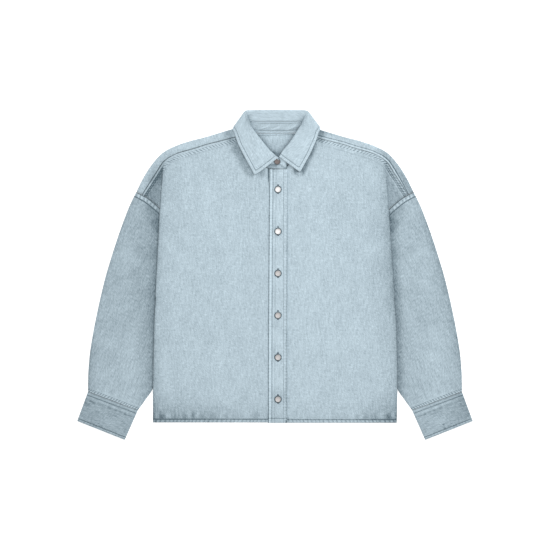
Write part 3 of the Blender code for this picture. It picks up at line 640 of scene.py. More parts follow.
def spline(points, counts, close=False):
    """Finer rows: a smooth curve through the points along the first axis, in this many steps each."""
    follow = np.concatenate([points, points[:1]]) if close else np.array(points)
    chords = np.maximum(np.linalg.norm(np.diff(follow, axis=0), axis=-1), 1e-6)[..., None]
    slopes = np.diff(follow, axis=0) / chords
    tangents = np.zeros_like(follow)
    tangents[0], tangents[-1] = slopes[0], slopes[-1]
    tangents[1:-1] = even_slope(slopes[:-1], slopes[1:], chords[:-1], chords[1:])
    if close:
        tangents[0] = tangents[-1] = even_slope(slopes[-1], slopes[0], chords[-1], chords[0])
    found = []
    for k, (chord, count) in enumerate(zip(chords, counts)):
        for j in range(count):
            t = j / count
            keep = (1 + 2 * t) * (1 - t) ** 2
            leave = t * (1 - t) ** 2 * chord
            arrive = t * t * (t - 1) * chord
            straight = keep * follow[k] + (1 - keep) * follow[k + 1]
            found.append(straight + leave * tangents[k] + arrive * tangents[k + 1])
    if not close:
        found.append(follow[-1])
    return np.array(found)


def fine(rows, across, down, close=False):
    """A finer grid through a coarse one, with steps near these lengths in millimetres."""
    grid = np.array(rows, float)
    grid = spline(grid, counts_for(grid, down)).transpose(1, 0, 2)
    return spline(grid, counts_for(grid, across, close), close).transpose(1, 0, 2)


def quads(numbers, close=False):
    """Faces between neighbouring rows and columns of a grid of point numbers."""
    if close:
        numbers = np.concatenate([numbers, numbers[:, :1]], axis=1)
    corners = (numbers[:-1, :-1], numbers[1:, :-1], numbers[1:, 1:], numbers[:-1, 1:])
    return np.stack([c.ravel() for c in corners], axis=1)


def point_normals(points, faces):
    """Unit normals of points, each from the faces round it."""
    corners = points[faces]
    across = np.cross(corners[:, 2] - corners[:, 0], corners[:, 3] - corners[:, 1])
    across /= np.maximum(np.linalg.norm(across, axis=1), 1e-12)[:, None]
    normals = np.zeros_like(points)
    for k in range(4):
        np.add.at(normals, faces[:, k], across)
    return normals / np.maximum(np.linalg.norm(normals, axis=1), 1e-12)[:, None]


def faced_out(points, faces):
    """The faces of a closed form, turned round if the upper ones look down."""
    normals = point_normals(points, faces)
    down = (normals[:, 2] * (points[:, 2] - points[:, 2].mean())).sum() < 0
    return faces[:, ::-1] if down else faces


def shell(name, points, faces, look, fields, up=CLOTH / 2, down=INSIDE):
    """A closed shell round a sheet: up and down are its thickness to each side of the sheet's points.

    fields holds a number for each point: where it lies on the cloth, "u" and "v", its "tone", its distances
    from seams and buttons, "edge", "hem", "lap" and "ring", how far along the seam it is, "run", and where
    the puckers lie and how strong they are, "lean" and "band". All lengths are in millimetres."""
    normals = point_normals(points, faces)
    count = len(points)
    both = np.concatenate([points + normals * up, points - normals * down])
    starts = faces.ravel()
    ends = np.roll(faces, -1, axis=1).ravel()
    rim = ~np.isin(starts * count + ends, ends * count + starts)
    a, b = starts[rim], ends[rim]
    edge_faces = np.stack([b, a, a + count, b + count], axis=1)
    closed = np.concatenate([faces, faces[:, ::-1] + count, edge_faces])
    first, third = both[closed[:, 0]], both[closed[:, 2]]
    turned = np.einsum("ij,ij->i", first, np.cross(both[closed[:, 1]], third))
    turned += np.einsum("ij,ij->i", first, np.cross(third, both[closed[:, 3]]))
    if turned.sum() < 0:
        closed = closed[:, ::-1]
    mesh = bpy.data.meshes.new(name)
    mesh.from_pydata((both / 1000).tolist(), [], closed.tolist())
    smooth_faces = np.ones(len(closed), bool)
    smooth_faces[2 * len(faces):] = False
    mesh.polygons.foreach_set("use_smooth", smooth_faces)
    for field in ("tone", "run", "lean", "band") + DISTANCES:
        values = fields.get(field, FAR if field in DISTANCES else 0.0)
        values = np.tile(np.broadcast_to(values, count), 2).astype(np.float32)
        mesh.attributes.new(field, "FLOAT", "POINT").data.foreach_set("value", values)
    corners = np.empty(len(mesh.loops), np.int32)
    mesh.loops.foreach_get("vertex_index", corners)
    cloth = np.tile(np.stack([fields["u"], fields["v"]], axis=1) / 1000, (2, 1))
    layer = mesh.uv_layers.new(name="cloth")
    layer.data.foreach_set("uv", cloth[corners].astype(np.float32).ravel())
    mesh.update()
    piece = bpy.data.objects.new(name, mesh)
    piece.data.materials.append(look)
    bpy.context.scene.collection.objects.link(piece)
    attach(piece, "root")
    return piece


def grid_shell(name, points, look, fields, up=CLOTH / 2, down=INSIDE, close=False):
    """A shell round a grid of points, with fields that are given for the same grid. close makes it a tube."""
    grid = points.shape[:2]
    faces = quads(np.arange(grid[0] * grid[1]).reshape(grid), close)
    points = points.reshape(-1, 3)
    if close:
        faces = faced_out(points, faces)
    fields = {key: np.broadcast_to(value, grid).ravel() for key, value in fields.items()}
    return shell(name, points, faces, look, fields, up, down)


def grid_xy(points):
    """Layout x and y of points in millimetres."""
    return points[..., 0] / UNIT + GRID_MID[0], GRID_MID[1] - points[..., 1] / UNIT


def beside(line, x, y):
    """Distance of points from a line of layout points and the length along it, both in millimetres.

    The distance is positive on the right-hand side of the line as it runs over the layout."""
    line = np.array(line, float)
    best = np.full(np.shape(x), 1e9)
    signed, run = np.zeros(np.shape(x)), np.zeros(np.shape(x))
    done = 0.0
    for (ax, ay), (bx, by) in zip(line[:-1], line[1:]):
        length = math.hypot(bx - ax, by - ay)
        dx, dy = (bx - ax) / length, (by - ay) / length
        t = np.clip((x - ax) * dx + (y - ay) * dy, 0, length)
        away = np.hypot(x - ax - t * dx, y - ay - t * dy)
        side = np.where(dx * (y - ay) - dy * (x - ax) >= 0, 1.0, -1.0)
        near = away < best
        best = np.where(near, away, best)
        signed = np.where(near, away * side, signed)
        run = np.where(near, done + t, run)
        done += length
    return signed * UNIT, run * UNIT


def pucker(lean, sine=np.sin):
    """Waves of -1 to 1, a little uneven. The cloth's points and its material follow the same ones."""
    return sine(lean * (2 * math.pi / PUCKER_LENGTH) + sine(lean / 17) * 1.3 + sine(lean / 5.3) * 0.5)


def between(edge, near, far, ease=1.6):
    """1 between two distances from a seam, fading to 0 beyond them."""
    return soft((edge - near + ease) / (2 * ease)) * soft((far - edge + ease) / (2 * ease))


def around(away, reach):
    """1 where a distance is 0, fading to 0 on both sides of it."""
    return np.exp(-((away / reach) ** 2))


def spot(x, y, middle_x, middle_y, wide, high):
    """1 at a layout point, fading to 0 round it."""
    return np.exp(-(((x - middle_x) / wide) ** 2) - ((y - middle_y) / high) ** 2)


def spotted(red, spots, x, y):
    """Display red with soft spots of painted shade added: layout x, y, width, height, how much lighter."""
    for *place, lighter in spots:
        red = red + lighter * spot(x, y, *place)
    return red


def creases(table, x, y):
    """Height in millimetres and the painted light and shade of soft folds, as a change of display red. The
    tables name the columns.
    """
    height, tone = np.zeros(np.shape(x)), np.zeros(np.shape(x))
    for ax, ay, bx, by, width, rise, shade in table:
        length = math.hypot(bx - ax, by - ay)
        dx, dy = (bx - ax) / length, (by - ay) / length
        along = ((x - ax) * dx + (y - ay) * dy) / length
        bow = 0.06 * length * np.sin(math.pi * np.clip(along, 0, 1))
        off = (x - ax) * dy - (y - ay) * dx + bow
        shape = around(off, width) * soft(along / 0.35) * soft((1 - along) / 0.35)
        height += rise * shape
        tone += shade * shape
    return height, tone


def front_rows(right):
    """Coarse points of a front: its main layer, and beyond the side fold its pleat over the armhole."""
    edge = FRONT_EDGE_UNDER if right else FRONT_EDGE_OVER
    rows_y = [row[0] for row in PLEAT] + list(FRONT_ROWS) + [HEM[1 if right else 0]]
    seam_drop = np.array([0, -SEAM, 0])
    main_layer, wing = [], []
    for r, row_y in enumerate(rows_y):
        row = []
        for c in range(len(FRONT_TOP) + len(edge)):
            x, y, z = front_point(c, row_y, right)
            if r >= len(PLEAT) and c == 0:
                z = back_height(x, y) + CLOTH + GAP + 0.1
            turn = PLEAT[r][1] / 180 if r < len(PLEAT) else 0
            p = at(x, y, z)
            if c == 0:
                p[0] += (FOLD_RADIUS + CLOTH / 2) * turn
                fold = (x + (FOLD_RADIUS + CLOTH / 2) * turn / UNIT, y, z)
            row.append(p + seam_drop if r == 0 else p)
        main_layer.append(row)
        if r < len(PLEAT):
            beyond = pleat_row(r, fold)
            if r == 0:
                beyond = [p + seam_drop for p in beyond]
            wing.append([row[0]] + beyond)
    return np.array(main_layer), np.array(wing)


def back_rows():
    """Coarse points of the back panel, from the yoke seam down to the hem."""
    tops = [(x, y) for *_, x, y in SHOULDER] + [(x, y) for *_, x, y in BACK_NECK]
    rows = []
    sides = list(BACK_SIDE) + [(look_up(SIDE, y) + 0.3, y, y) for y in BACK_ROWS + (BACK_HEM,)]
    for r, (side_x, side_y, centre_y) in enumerate(sides):
        half = []
        for top_x, top_y in tops:
            share = (top_x - tops[0][0]) / (MIDLINE - tops[0][0])
            x = side_x + share * (MIDLINE - side_x)
            bow = (tops[0][1] - top_y) / (tops[0][1] - tops[-1][1])
            y = side_y - bow * (side_y - centre_y)
            p = at(x, y, back_height(x, y))
            if r == 0:
                p[1] -= SEAM
            half.append(p)
        rows.append(half + [mirrored(p) for p in reversed(half[:-1])])
    return np.array(rows)


def yoke_rows():
    """Coarse points of the yoke: the strip from the front seam over the left shoulder, and the whole back."""
    low = YOKE_CLOTH / 2
    left = [shoulder_column(k) for k in range(len(SHOULDER))]
    middle = []
    for neck_x, neck_y, back_x, back_y in BACK_NECK:
        neck, back = at(neck_x, neck_y, low), at(back_x, back_y, low)
        middle.append([neck + (back - neck) * k / 5 for k in range(6)])
    right = [[mirrored(p) for p in column] for column in reversed(left)]
    middle += [[mirrored(p) for p in column] for column in reversed(middle[:-1])]
    whole = np.array([c[-6:] for c in left] + middle + [c[-6:] for c in right])
    return np.array([c[:7] for c in left]), whole


def sleeve_rows(right):
    """Rings of the flattened sleeve from the armhole to the cuff, each from the outer edge over the top."""
    armhole = np.array(ARMHOLE)
    steps = np.linalg.norm(np.diff(armhole[:, :2], axis=0), axis=1)
    shares = np.append(0, np.cumsum(steps)) / steps.sum()
    upper = []
    for k in range(len(shares) - 1):
        upper.append(shares[k])
        if k >= 5:
            upper.append((shares[k] + shares[k + 1]) / 2)
    upper.append(1.0)
    lower = list(shares[::-1])
    cuff_outer, cuff_inner = np.array(CUFF[0]), np.array(CUFF[1])
    outer_start, outer_end = SLEEVE_OUTER[0][0], SLEEVE_OUTER[-1][0]
    inner_start, inner_end = SLEEVE_INNER[0][0], SLEEVE_INNER[-1][0]
    rows = []
    downs = (0, 0.035, 0.08, 0.14, 0.21, 0.28, 0.35, 0.42, 0.5, 0.58, 0.66, 0.74, 0.81, 0.87, 0.92, 0.96, 1)
    for down in downs:
        outer_y = outer_start + (outer_end - outer_start) * down
        inner_y = inner_start + (inner_end - inner_start) * down
        outer = np.array([look_up(SLEEVE_OUTER, outer_y), outer_y])
        inner = np.array([look_up(SLEEVE_INNER, inner_y), inner_y])

        def place(share):
            top = np.array([np.interp(share, shares, armhole[:, k]) for k in (0, 1)])
            bottom = cuff_outer + (cuff_inner - cuff_outer) * share
            corners = (1 - share) * ((1 - down) * armhole[0, :2] + down * cuff_outer)
            corners = corners + share * ((1 - down) * armhole[-1, :2] + down * cuff_inner)
            return (1 - down) * top + down * bottom + (1 - share) * outer + share * inner - corners

        def height(share):
            x, y = place(share)
            side_x = look_up(SIDE, y, 2 if right else 1)
            seam_z = float(np.interp(share, shares, armhole[:, 2]))
            z = sleeve_height(x, side_x)
            z += (SLEEVE_AT_CUFF - z) * soft((down - 0.93) / 0.07)
            return seam_z + (z - seam_z) * soft(down / 0.13)

        ring = []
        ways = [plan(*place(b)) - plan(*place(a)) for a, b in ((0.0, 0.06), (0.94, 1.0), (0.0, 1.0))]
        outer_way, inner_way, across = [way / np.linalg.norm(way) for way in ways]
        edge_heights = [height(0.0) - 0.9 * soft(down / 0.2), height(1.0)]
        radii = [(z - TABLE) / 2 for z in edge_heights]
        insets = [r + CLOTH / 2 for r in radii]

        def inset_plan(share):
            here = plan(*place(share))
            shift = outer_way * insets[0] * (1 - soft(share / 0.35))
            return here + shift - inner_way * insets[1] * soft((share - 0.65) / 0.35)

        for share in upper:
            z = height(share)
            z += (edge_heights[0] - z) * (1 - soft(share / 0.12))
            z += (edge_heights[1] - z) * soft((share - 0.88) / 0.12)
            ring.append(np.append(inset_plan(share), z))
        for angle in (45, 90, 135):
            turn = math.radians(angle)
            centre = inset_plan(1.0) + inner_way * radii[1] * math.sin(turn)
            ring.append(np.append(centre, TABLE + radii[1] * (1 + math.cos(turn))))
        for share in lower:
            ring.append(np.append(inset_plan(share), TABLE))
        for angle in (135, 90, 45):
            turn = math.radians(angle)
            centre = inset_plan(0.0) - outer_way * radii[0] * math.sin(turn)
            ring.append(np.append(centre, TABLE + radii[0] * (1 + math.cos(turn))))
        if down in (0, 1):
            away = np.array([-across[1], across[0]]) * (SEAM if down else -SEAM)
            ring = [p + np.append(away, 0) for p in ring]
        rows.append(ring)
    return np.array(rows)


def cuff_rows():
    """Rings of the flattened cuff from its top to its foot, each from the outer edge over the top."""
    corners = [plan(*corner) for corner in CUFF]
    low = DOUBLE_CLOTH / 2
    rows = []
    for down in (0, 0.12, 0.5, 0.88, 1):
        outer = corners[0] + (corners[3] - corners[0]) * down
        inner = corners[1] + (corners[2] - corners[1]) * down
        across = (inner - outer) / np.linalg.norm(inner - outer)
        high = low + 3.1 + 0.5 * math.sin(math.pi * down)
        radius = (high - low) / 2
        outer = outer + across * (radius + low)
        inner = inner - across * (radius + low)
        ring = [np.append(outer + (inner - outer) * k / 8, high) for k in range(9)]
        for angle in (45, 90, 135):
            turn = math.radians(angle)
            height = low + radius * (1 + math.cos(turn))
            ring.append(np.append(inner + across * radius * math.sin(turn), height))
        ring += [np.append(inner + (outer - inner) * k / 8, low) for k in range(9)]
        for angle in (135, 90, 45):
            turn = math.radians(angle)
            height = low + radius * (1 + math.cos(turn))
            ring.append(np.append(outer - across * radius * math.sin(turn), height))
        rows.append(ring)
    return np.array(rows)


def stand_rows():
    """The stand from its seam up to its top, station by station."""
    rows = []
    for nx, ny, nz, tx, ty, tz in STAND:
        seam, top = at(nx, ny, nz), at(tx, ty, tz)
        rows.append([seam + (top - seam) * k / 3 for k in range(4)])
    return np.array(rows)


class Value:
    """A number that changes over a surface. Sums and products of it add Math nodes."""

    def __init__(self, look, socket):
        self.look = look
        self.socket = socket

    def math(self, operation, *others):
        return self.look.node("ShaderNodeMath", {"operation": operation}, self, *others)

    def __add__(self, other):
        return self.math("ADD", other)

    __radd__ = __add__

    def __sub__(self, other):
        return self.math("SUBTRACT", other)

    def __rsub__(self, other):
        return self.look.node("ShaderNodeMath", {"operation": "SUBTRACT"}, other, self)

    def __mul__(self, other):
        return self.math("MULTIPLY", other)

    __rmul__ = __mul__

    def __truediv__(self, other):
        return self.math("DIVIDE", other)

    def sine(self):
        return self.math("SINE")

    def within(self, low, high):
        return self.math("MAXIMUM", low).math("MINIMUM", high)


class Look:
    """A material and the nodes that are added to it."""

    def __init__(self, name, roughness, metallic=0.0, sheen=0.0):
        self.material = bpy.data.materials.new(name)
        self.material.use_nodes = True
        self.tree = self.material.node_tree
        self.shader = self.tree.nodes["Principled BSDF"]
        self.shader.inputs["Roughness"].default_value = roughness
        self.shader.inputs["Metallic"].default_value = metallic
        self.shader.inputs["Sheen Weight"].default_value = sheen
        self.shader.inputs["Sheen Roughness"].default_value = 0.6
        self.shader.inputs["Specular IOR Level"].default_value = 0.25

    def feed(self, socket, value):
        if isinstance(value, Value):
            self.tree.links.new(value.socket, socket)
        else:
            socket.default_value = value

    def node(self, kind, settings, *values, output=0, **named):
        made = self.tree.nodes.new(kind)
        for key, setting in settings.items():
            setattr(made, key, setting)
        for socket, value in zip(made.inputs, values):
            if value is not None:
                self.feed(socket, value)
        for key, value in named.items():
            self.feed(made.inputs[key.replace("_", " ")], value)
        return Value(self, made.outputs[output])

    def field(self, name):
        return self.node("ShaderNodeAttribute", {"attribute_name": name}, output=2)

    def cloth_mm(self):
        """Across and down the cloth, in millimetres."""
        uv = self.node("ShaderNodeUVMap", {"uv_map": "cloth"})
        parts = self.tree.nodes.new("ShaderNodeSeparateXYZ")
        self.feed(parts.inputs[0], uv)
        return Value(self, parts.outputs[0]) * 1000, Value(self, parts.outputs[1]) * 1000

    def place(self, x, y, z=0.0):
        return self.node("ShaderNodeCombineXYZ", {}, x, y, z)

    def noise(self, vector, scale, detail=2.0):
        """Soft noise about 0, near -0.5 to 0.5."""
        made = self.node("ShaderNodeTexNoise", {}, Vector=vector, Scale=scale, Detail=detail)
        return made - 0.5

    def blend(self, factor, first, second):
        """A colour between two: the node's sockets for plain numbers and vectors stay unused."""
        values = (factor, *[None] * 5, (*first, 1), (*second, 1))
        return self.node("ShaderNodeMix", {"data_type": "RGBA"}, *values, output=2)


def denim_look(name, lines):
    """Washed twill: streaks along the warp, and dark stitched lines and puckers beside the seams, with painted
    shade.

    lines gives, for each field of distances, the lines to draw: how far from it, how dark or, below 0, how
    light, and how far the line reaches to each side. Far from the seam a line is stitched, so it is broken."""
    look = Look(name, 0.9, sheen=0.1)
    u, v = look.cloth_mm()
    tone, run, band = (look.field(f) for f in ("tone", "run", "band"))
    grain = look.noise(look.place((u + v * 0.9) * 0.64, v * 0.24), 1.0, 3.0)
    streak = look.noise(look.place(u * 0.45, v * 0.045), 1.0)
    slub = look.noise(look.place(u * 0.24 + v * 0.04, v * 0.10), 1.0)
    cloud = look.noise(look.place(u * 0.045, v * 0.025), 1.0)
    wave = pucker(look.field("lean"), sine=Value.sine)
    # the puckers' marks are painted shade in their troughs, their ridges painted light on their crests
    marks = ((wave - 0.3) * 1.9).within(0.0, 1.0) * band
    ridges = ((0.0 - wave) * 1.1).within(0.0, 1.0) * band
    drawn = 0.0
    # the drawn lines: stitched lines darkened with painted shade where they sink, painted shadows along edges
    # and round buttons, and painted light where a line is lighter
    for field, rows in lines.items():
        distance = look.field(field)
        for away, depth, reach in rows:
            line = (1.0 - (distance - away).math("ABSOLUTE") / reach).within(0.0, 1.0)
            if away > 2 and depth > 0:
                line = line * (0.8 + (run * (2 * math.pi / STITCH_PITCH)).sine() * 0.2 + slub * 1.4)
            drawn = drawn + line * depth
    weave = tone + grain * 1.0 + streak * 0.32 + slub * 0.32 + cloud * 0.21
    shade = weave + ridges * 0.12 - marks * 0.42 - drawn * 0.9
    look.feed(look.shader.inputs["Base Color"], look.blend(shade.within(0.0, 1.0), WASH_DARK, WASH_LIGHT))
    look.feed(look.shader.inputs["Roughness"], (0.86 + grain * 0.15).within(0.6, 1.0))
    twill = ((u + v * 0.55) * (2 * math.pi / TWILL_PITCH)).sine()
    relief = twill * 0.03 + slub * 0.25 + grain * 0.2 - marks * 0.15 - drawn * 0.5
    bump = look.node("ShaderNodeBump", {}, Strength=1.0, Distance=0.001, Height=relief)
    look.feed(look.shader.inputs["Normal"], bump)
    return look.material


def plain_look(name, colour, roughness, metallic=0.0, grain=0.0):
    """Thread, metal or floor: one colour, mottled with a darker one by grain, from 0 to 1."""
    look = Look(name, roughness, metallic)
    place = look.node("ShaderNodeTexCoord", {}, output=3)
    mottle = look.noise(place, 900.0)
    dark = tuple(c * (1 - grain) for c in colour)
    look.feed(look.shader.inputs["Base Color"], look.blend((mottle + 0.5).within(0.0, 1.0), dark, colour))
    bump = look.node("ShaderNodeBump", {}, Strength=0.4, Distance=0.0002, Height=mottle)
    look.feed(look.shader.inputs["Normal"], bump)
    return look.material


def linear(red):
    """A display value of 0 to 255 as light."""
    red = np.clip(np.asarray(red, float) / 255, 0, 1)
    return np.where(red <= 0.04045, red / 12.92, ((red + 0.055) / 1.055) ** 2.4)


def tone_of(red):
    """Share of the pale wash that gives this red value."""
    return (linear(red) - linear(DARK_RED)) / (linear(PALE_RED) - linear(DARK_RED))


def front_sheet(right):
    """A front's points in millimetres, its faces, and which of the points lie in the pleat under it."""
    coarse, wing = front_rows(right)
    down = counts_for(coarse, FRONT_STEP)
    across = counts_for(coarse.transpose(1, 0, 2), FRONT_STEP)
    grid = spline(spline(coarse, down).transpose(1, 0, 2), across).transpose(1, 0, 2)
    under = spline(wing, down[: len(wing) - 1]).transpose(1, 0, 2)
    under = spline(under, counts_for(under, PLEAT_STEP)).transpose(1, 0, 2)
    under[:, 0] = grid[: len(under), 0]
    numbers = np.arange(grid.shape[0] * grid.shape[1]).reshape(grid.shape[:2])
    beyond = numbers.size + np.arange(under.shape[0] * (under.shape[1] - 1)).reshape(under.shape[0], -1)
    beyond = np.concatenate([numbers[: len(under), :1], beyond], axis=1)
    faces = np.concatenate([quads(numbers), quads(beyond)[:, ::-1]])
    points = np.concatenate([grid.reshape(-1, 3), under[:, 1:].reshape(-1, 3)])
    return points, faces, np.arange(len(points)) >= numbers.size


def collar_shadow(right, x, y):
    """Painted shadow on a front: how much darker it is under the leaf, at the leaf's tip, and where the yoke
    seam meets the neck.
    """
    leaf_edge = [row[4:6] for row in (LEAF[-6:] if right else LEAF[:6])]
    collar, _ = beside(leaf_edge, 2 * MIDLINE - x if right else x, y)
    beyond = np.maximum(np.abs(collar) - (8.5 if right else 15) * soft((y - 137) / 14), 0)
    if right:
        shadow = 64 * around(beyond, 4.0)
    else:
        near_tip = soft((y - 152) / 20)
        shadow = (50 - 16 * near_tip) * around(beyond, 10 - 4 * near_tip)
    tip_x, tip_y = (250.5, 171.5) if right else (256.0, 172.0)
    below_tip = 0.85 * soft((y - tip_y + 1) / 3) * around(x - tip_x, 2.8)
    shadow = shadow * (1 - soft((y - tip_y - 1.5) / 6)) * (1 - below_tip)
    return shadow + (55 if right else 42) * spot(x, y, 230, 139, 4, 4)


def front_red(right, x, y, hidden, yoke, hem, fold, ruck):
    """Display red of a front before its soft folds, with painted shade: darker at the side fold, the hem, the
    collar and in the pleat.
    """
    inward = np.clip(fold, 0, 99)
    # painted shade: side along the side fold, foot above the hem, behind in the pleat under the fold
    if right:
        side = np.interp(y, (180, 215, 285, 330, 390), (13, 25, 36, 24, 14)) * np.exp(-inward / 16)
        foot = np.interp(x, (158, 178, 200, 262), (80, 46, 18, 12))
        behind = 148 + 24 * soft((18 - yoke) / 6)
    else:
        side = 12 * np.exp(-inward / 12)
        foot = np.interp(x, (155, 200, 225, 268), (74, 56, 30, 24))
        behind = 118 + 13 * soft((y - 178) / 10) + 46 * between(yoke, 1.2, 4.2, 0.9)
        behind = behind + 18 * np.exp(np.clip(fold, -99, 0) / 4) * soft((y - 178) / 8)
    red = (190 if right else 188) - side - 24 * np.exp(-inward / 1.8)
    foot = foot * np.exp(-np.clip(hem, 0, 999) / 24)
    foot = foot * (1 - 0.55 * soft((6.5 - hem) / 2)) * (1 + 0.8 * ruck)
    red = red - collar_shadow(right, x, y) - foot + 7 * between(yoke, 1.5, 4.5)
    red = spotted(red, UNDER_SHADE_SPOTS if right else OVER_SHADE_SPOTS, x, y)
    return np.where(hidden, behind, red)


def make_front(right):
    """A front with its pleat, puckered along the yoke seam and the hem. right is the photo-right one."""
    points, faces, hidden = front_sheet(right)
    x, y = grid_xy(points)
    yoke, yoke_run = beside(YOKE_SEAM, x, y)
    hem = (HEM[1 if right else 0] - y) * UNIT
    at_hem = hem < 30
    lean = np.where(at_hem, x * UNIT * 0.8 - 0.3 * hem, yoke_run - 0.85 * yoke)
    band = between(yoke, 1.0, 7.5) if right else between(yoke, 5.0, 11.5)
    band = band * (1 - 0.35 * hidden) + between(hem, 0.5, 5.5) * 0.6 * ~hidden
    fold = x - look_up(SIDE, y, 2 if right else 1)
    clear = soft((fold - 1) / 8) * soft((262 - x) / 14) * soft((y - 150) / 20) * ~hidden
    rise, shade = creases(CREASES_UNDER if right else CREASES_OVER, x, y)
    ruck = np.sin(x / 1.9 + 1.5 * np.sin(x / 6.1)) * np.sin(x / 9.7 + 0.6) * between(hem, 9, 22, 5.0) * ~hidden
    waves = 0.35 * np.sin(x / 7.0 + np.sin(y / 23.0)) * np.sin(y / 31.0 + 1.0)
    points[:, 2] += clear * (rise + waves)
    points[:, 2] += soft((262 - x) / 8) * (0.3 * pucker(lean) * band + 0.35 * ruck)
    red = front_red(right, x, y, hidden, yoke, hem, fold, ruck) + shade * clear
    topstitches = (5.4, 8.8) if right else (5.6, 9.2)
    # on the lapping front a shadow line is painted along the placket's edge; in the pleat the line follows the
    # topstitching
    lap = FAR if right else np.abs(x - PLACKET_EDGE_X) * UNIT + 2 * soft((y - 177) / 12)
    lap = np.where(hidden, np.minimum(*(np.abs(yoke - away) for away in topstitches)) + 0.7, lap)
    if right:
        points[:, 0] = 2 * plan(MIDLINE, 0)[0] - points[:, 0]
        faces = faces[:, ::-1]
    fields = dict(tone=tone_of(red), run=np.where(at_hem, x * UNIT, yoke_run), lean=lean, band=band)
    fields.update(edge=yoke, hem=hem, lap=lap, u=points[:, 0], v=points[:, 1])
    name = "front_left_cloth" if right else "front_right_cloth"
    piece = shell(name, points, faces, front_denim, fields)
    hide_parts("front_left" if right else "front_right")
    return piece


def make_placket():
    """The placket, from the lapping front's points across it, moved out."""
    coarse, _ = front_rows(False)
    strip = coarse[:, -(len(FRONT_EDGE_OVER) + 1):].copy()
    strip[:, :, 2] += CLOTH + GAP
    strip[-1, :, 1] = plan(0, HEM[1])[1]
    points = fine(strip, 1.5, 1.8)
    x, y = grid_xy(points)
    left = (x - x[:, :1]) * UNIT
    free = (x[:, -1:] - x) * UNIT
    edge = np.minimum(left, free)
    along = y * UNIT
    band = between(edge, 0.8, 6.0) * 0.25
    ridge = 0.3 * between(edge, 2.2, 5.0)
    points[..., 2] += 0.1 * pucker(along) * band + ridge - 0.25 * between(edge, 6.3, 7.7)
    # distance from the nearest button, for the shadow ring painted round it
    hole = np.full(x.shape, 99.0)
    for button_y in BUTTON_ROWS:
        hole = np.minimum(hole, np.hypot(x - BUTTON_X, y - button_y) * UNIT)
    red = 198 + 15 * between(left, 2.0, 5.0, 1.0) - 3 * between(free, 2.4, 6.2, 1.2)
    red = red - 5 * between(edge, 10, 40) - 9 * soft((y - 372) / 30)
    red += 4 * np.sin(y / 5.3 + 1.2 * np.sin(y / 13)) * between(edge, 9, 40)
    red = spotted(red, PLACKET_SHADE_SPOTS, x, y)
    fields = dict(tone=tone_of(red), run=along, lean=along, band=band, edge=edge, hem=(HEM[1] - y) * UNIT)
    fields.update(lap=left, ring=hole, u=points[..., 0], v=points[..., 1])
    piece = grid_shell("placket_cloth", points, placket_denim, fields)
    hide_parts("button_placket")
    return piece


def make_back():
    """The back panel, thickened towards the table so that nothing above it is touched."""
    points = fine(back_rows(), 6.0, 6.0)
    x, y = grid_xy(points)
    hem = (BACK_HEM - y) * UNIT
    rise, shade = creases(CREASES_BACK, x, y)
    clear = soft(hem / 30) * soft((np.abs(x - MIDLINE) - 3) / 5)
    fields = dict(tone=tone_of(184 + shade), run=x * UNIT, lean=x * UNIT, band=between(hem, 0.5, 5.5) * 0.6)
    fields.update(hem=hem, u=points[..., 0], v=points[..., 1])
    points[..., 2] += 0.15 * rise * clear
    piece = grid_shell("back_panel_cloth", points, front_denim, fields, up=INSIDE, down=CLOTH / 2)
    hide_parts("back_panel")
    return piece


def yoke_sheet():
    """Points and faces of the yoke: its back, and the strip over each shoulder joined to it."""
    strip, whole = yoke_rows()
    along = counts_for(whole, YOKE_STEP)
    back = spline(whole, along).transpose(1, 0, 2)
    back = spline(back, counts_for(back, YOKE_STEP)).transpose(1, 0, 2)
    numbers = np.arange(back.shape[0] * back.shape[1]).reshape(back.shape[:2])
    points, faces = [back.reshape(-1, 3)], [quads(numbers)]
    count = numbers.size
    across = counts_for(strip.transpose(1, 0, 2), SHOULDER_STEP)
    for right in (False, True):
        part = np.array([[mirrored(p) for p in column] for column in reversed(strip)]) if right else strip
        steps = along[-(len(strip) - 1):] if right else along[: len(strip) - 1]
        top = spline(spline(part, steps).transpose(1, 0, 2), across).transpose(1, 0, 2)
        shared = numbers[-len(top):, :1] if right else numbers[: len(top), :1]
        own = count + np.arange(top.shape[0] * (top.shape[1] - 1)).reshape(top.shape[0], -1)
        count += own.size
        points.append(top[:, :-1].reshape(-1, 3))
        faces.append(quads(np.concatenate([own, shared], axis=1)))
    return np.concatenate(points), np.concatenate(faces)


def yoke_inside_red(x, y):
    """Display red of the yoke's inner side in the neck opening, with the shade of the collar on it."""
    left_roll, _ = beside([row[1:3] for row in LEAF[:6]], x, y)
    red = 193 - 1.7 * np.clip(y - 137, 0, 16) - 14 * soft((np.abs(x - 276) - (152 - y) * 0.62) / 5)
    return red - 34 * np.exp(-np.abs(left_roll) / 3.2) - 50 * spot(x, y, 275.6, 153.6, 2.6, 1.3)


def shoulder_red(flip, y, depth, topstitch, on_right):
    """Display red of the yoke's front strips, with painted shade. The two shoulders are shaded differently."""
    left = 24 * (around(flip - 151.5, 6) + 0.4 * around(flip - 165, 9)) * soft((16.5 - depth) / 10)
    right = 26 * soft((178 - flip) / 14) * soft((depth - 2) / 4) + 9 * soft((depth - 5) / 3)
    right = right * (1 - 0.45 * soft((depth - 13) / 3) * soft((160 - flip) / 8))
    right = right + 14 * soft((depth - 10) / 5) * soft((flip - 198) / 8)
    right = right + 22 * around(topstitch, 1.8) * soft((172 - flip) / 12)
    red = np.where(on_right, 199 + 4 * (depth < 6), 192 - 6 * (depth < 5))
    red = red - np.where(on_right, 78, 50) * spot(flip, y, 229.5, 133, 4.2, 6)
    red = red - np.where(on_right, 26, 10) * soft((155 - flip) / 22)
    return red - np.where(on_right, right, left)


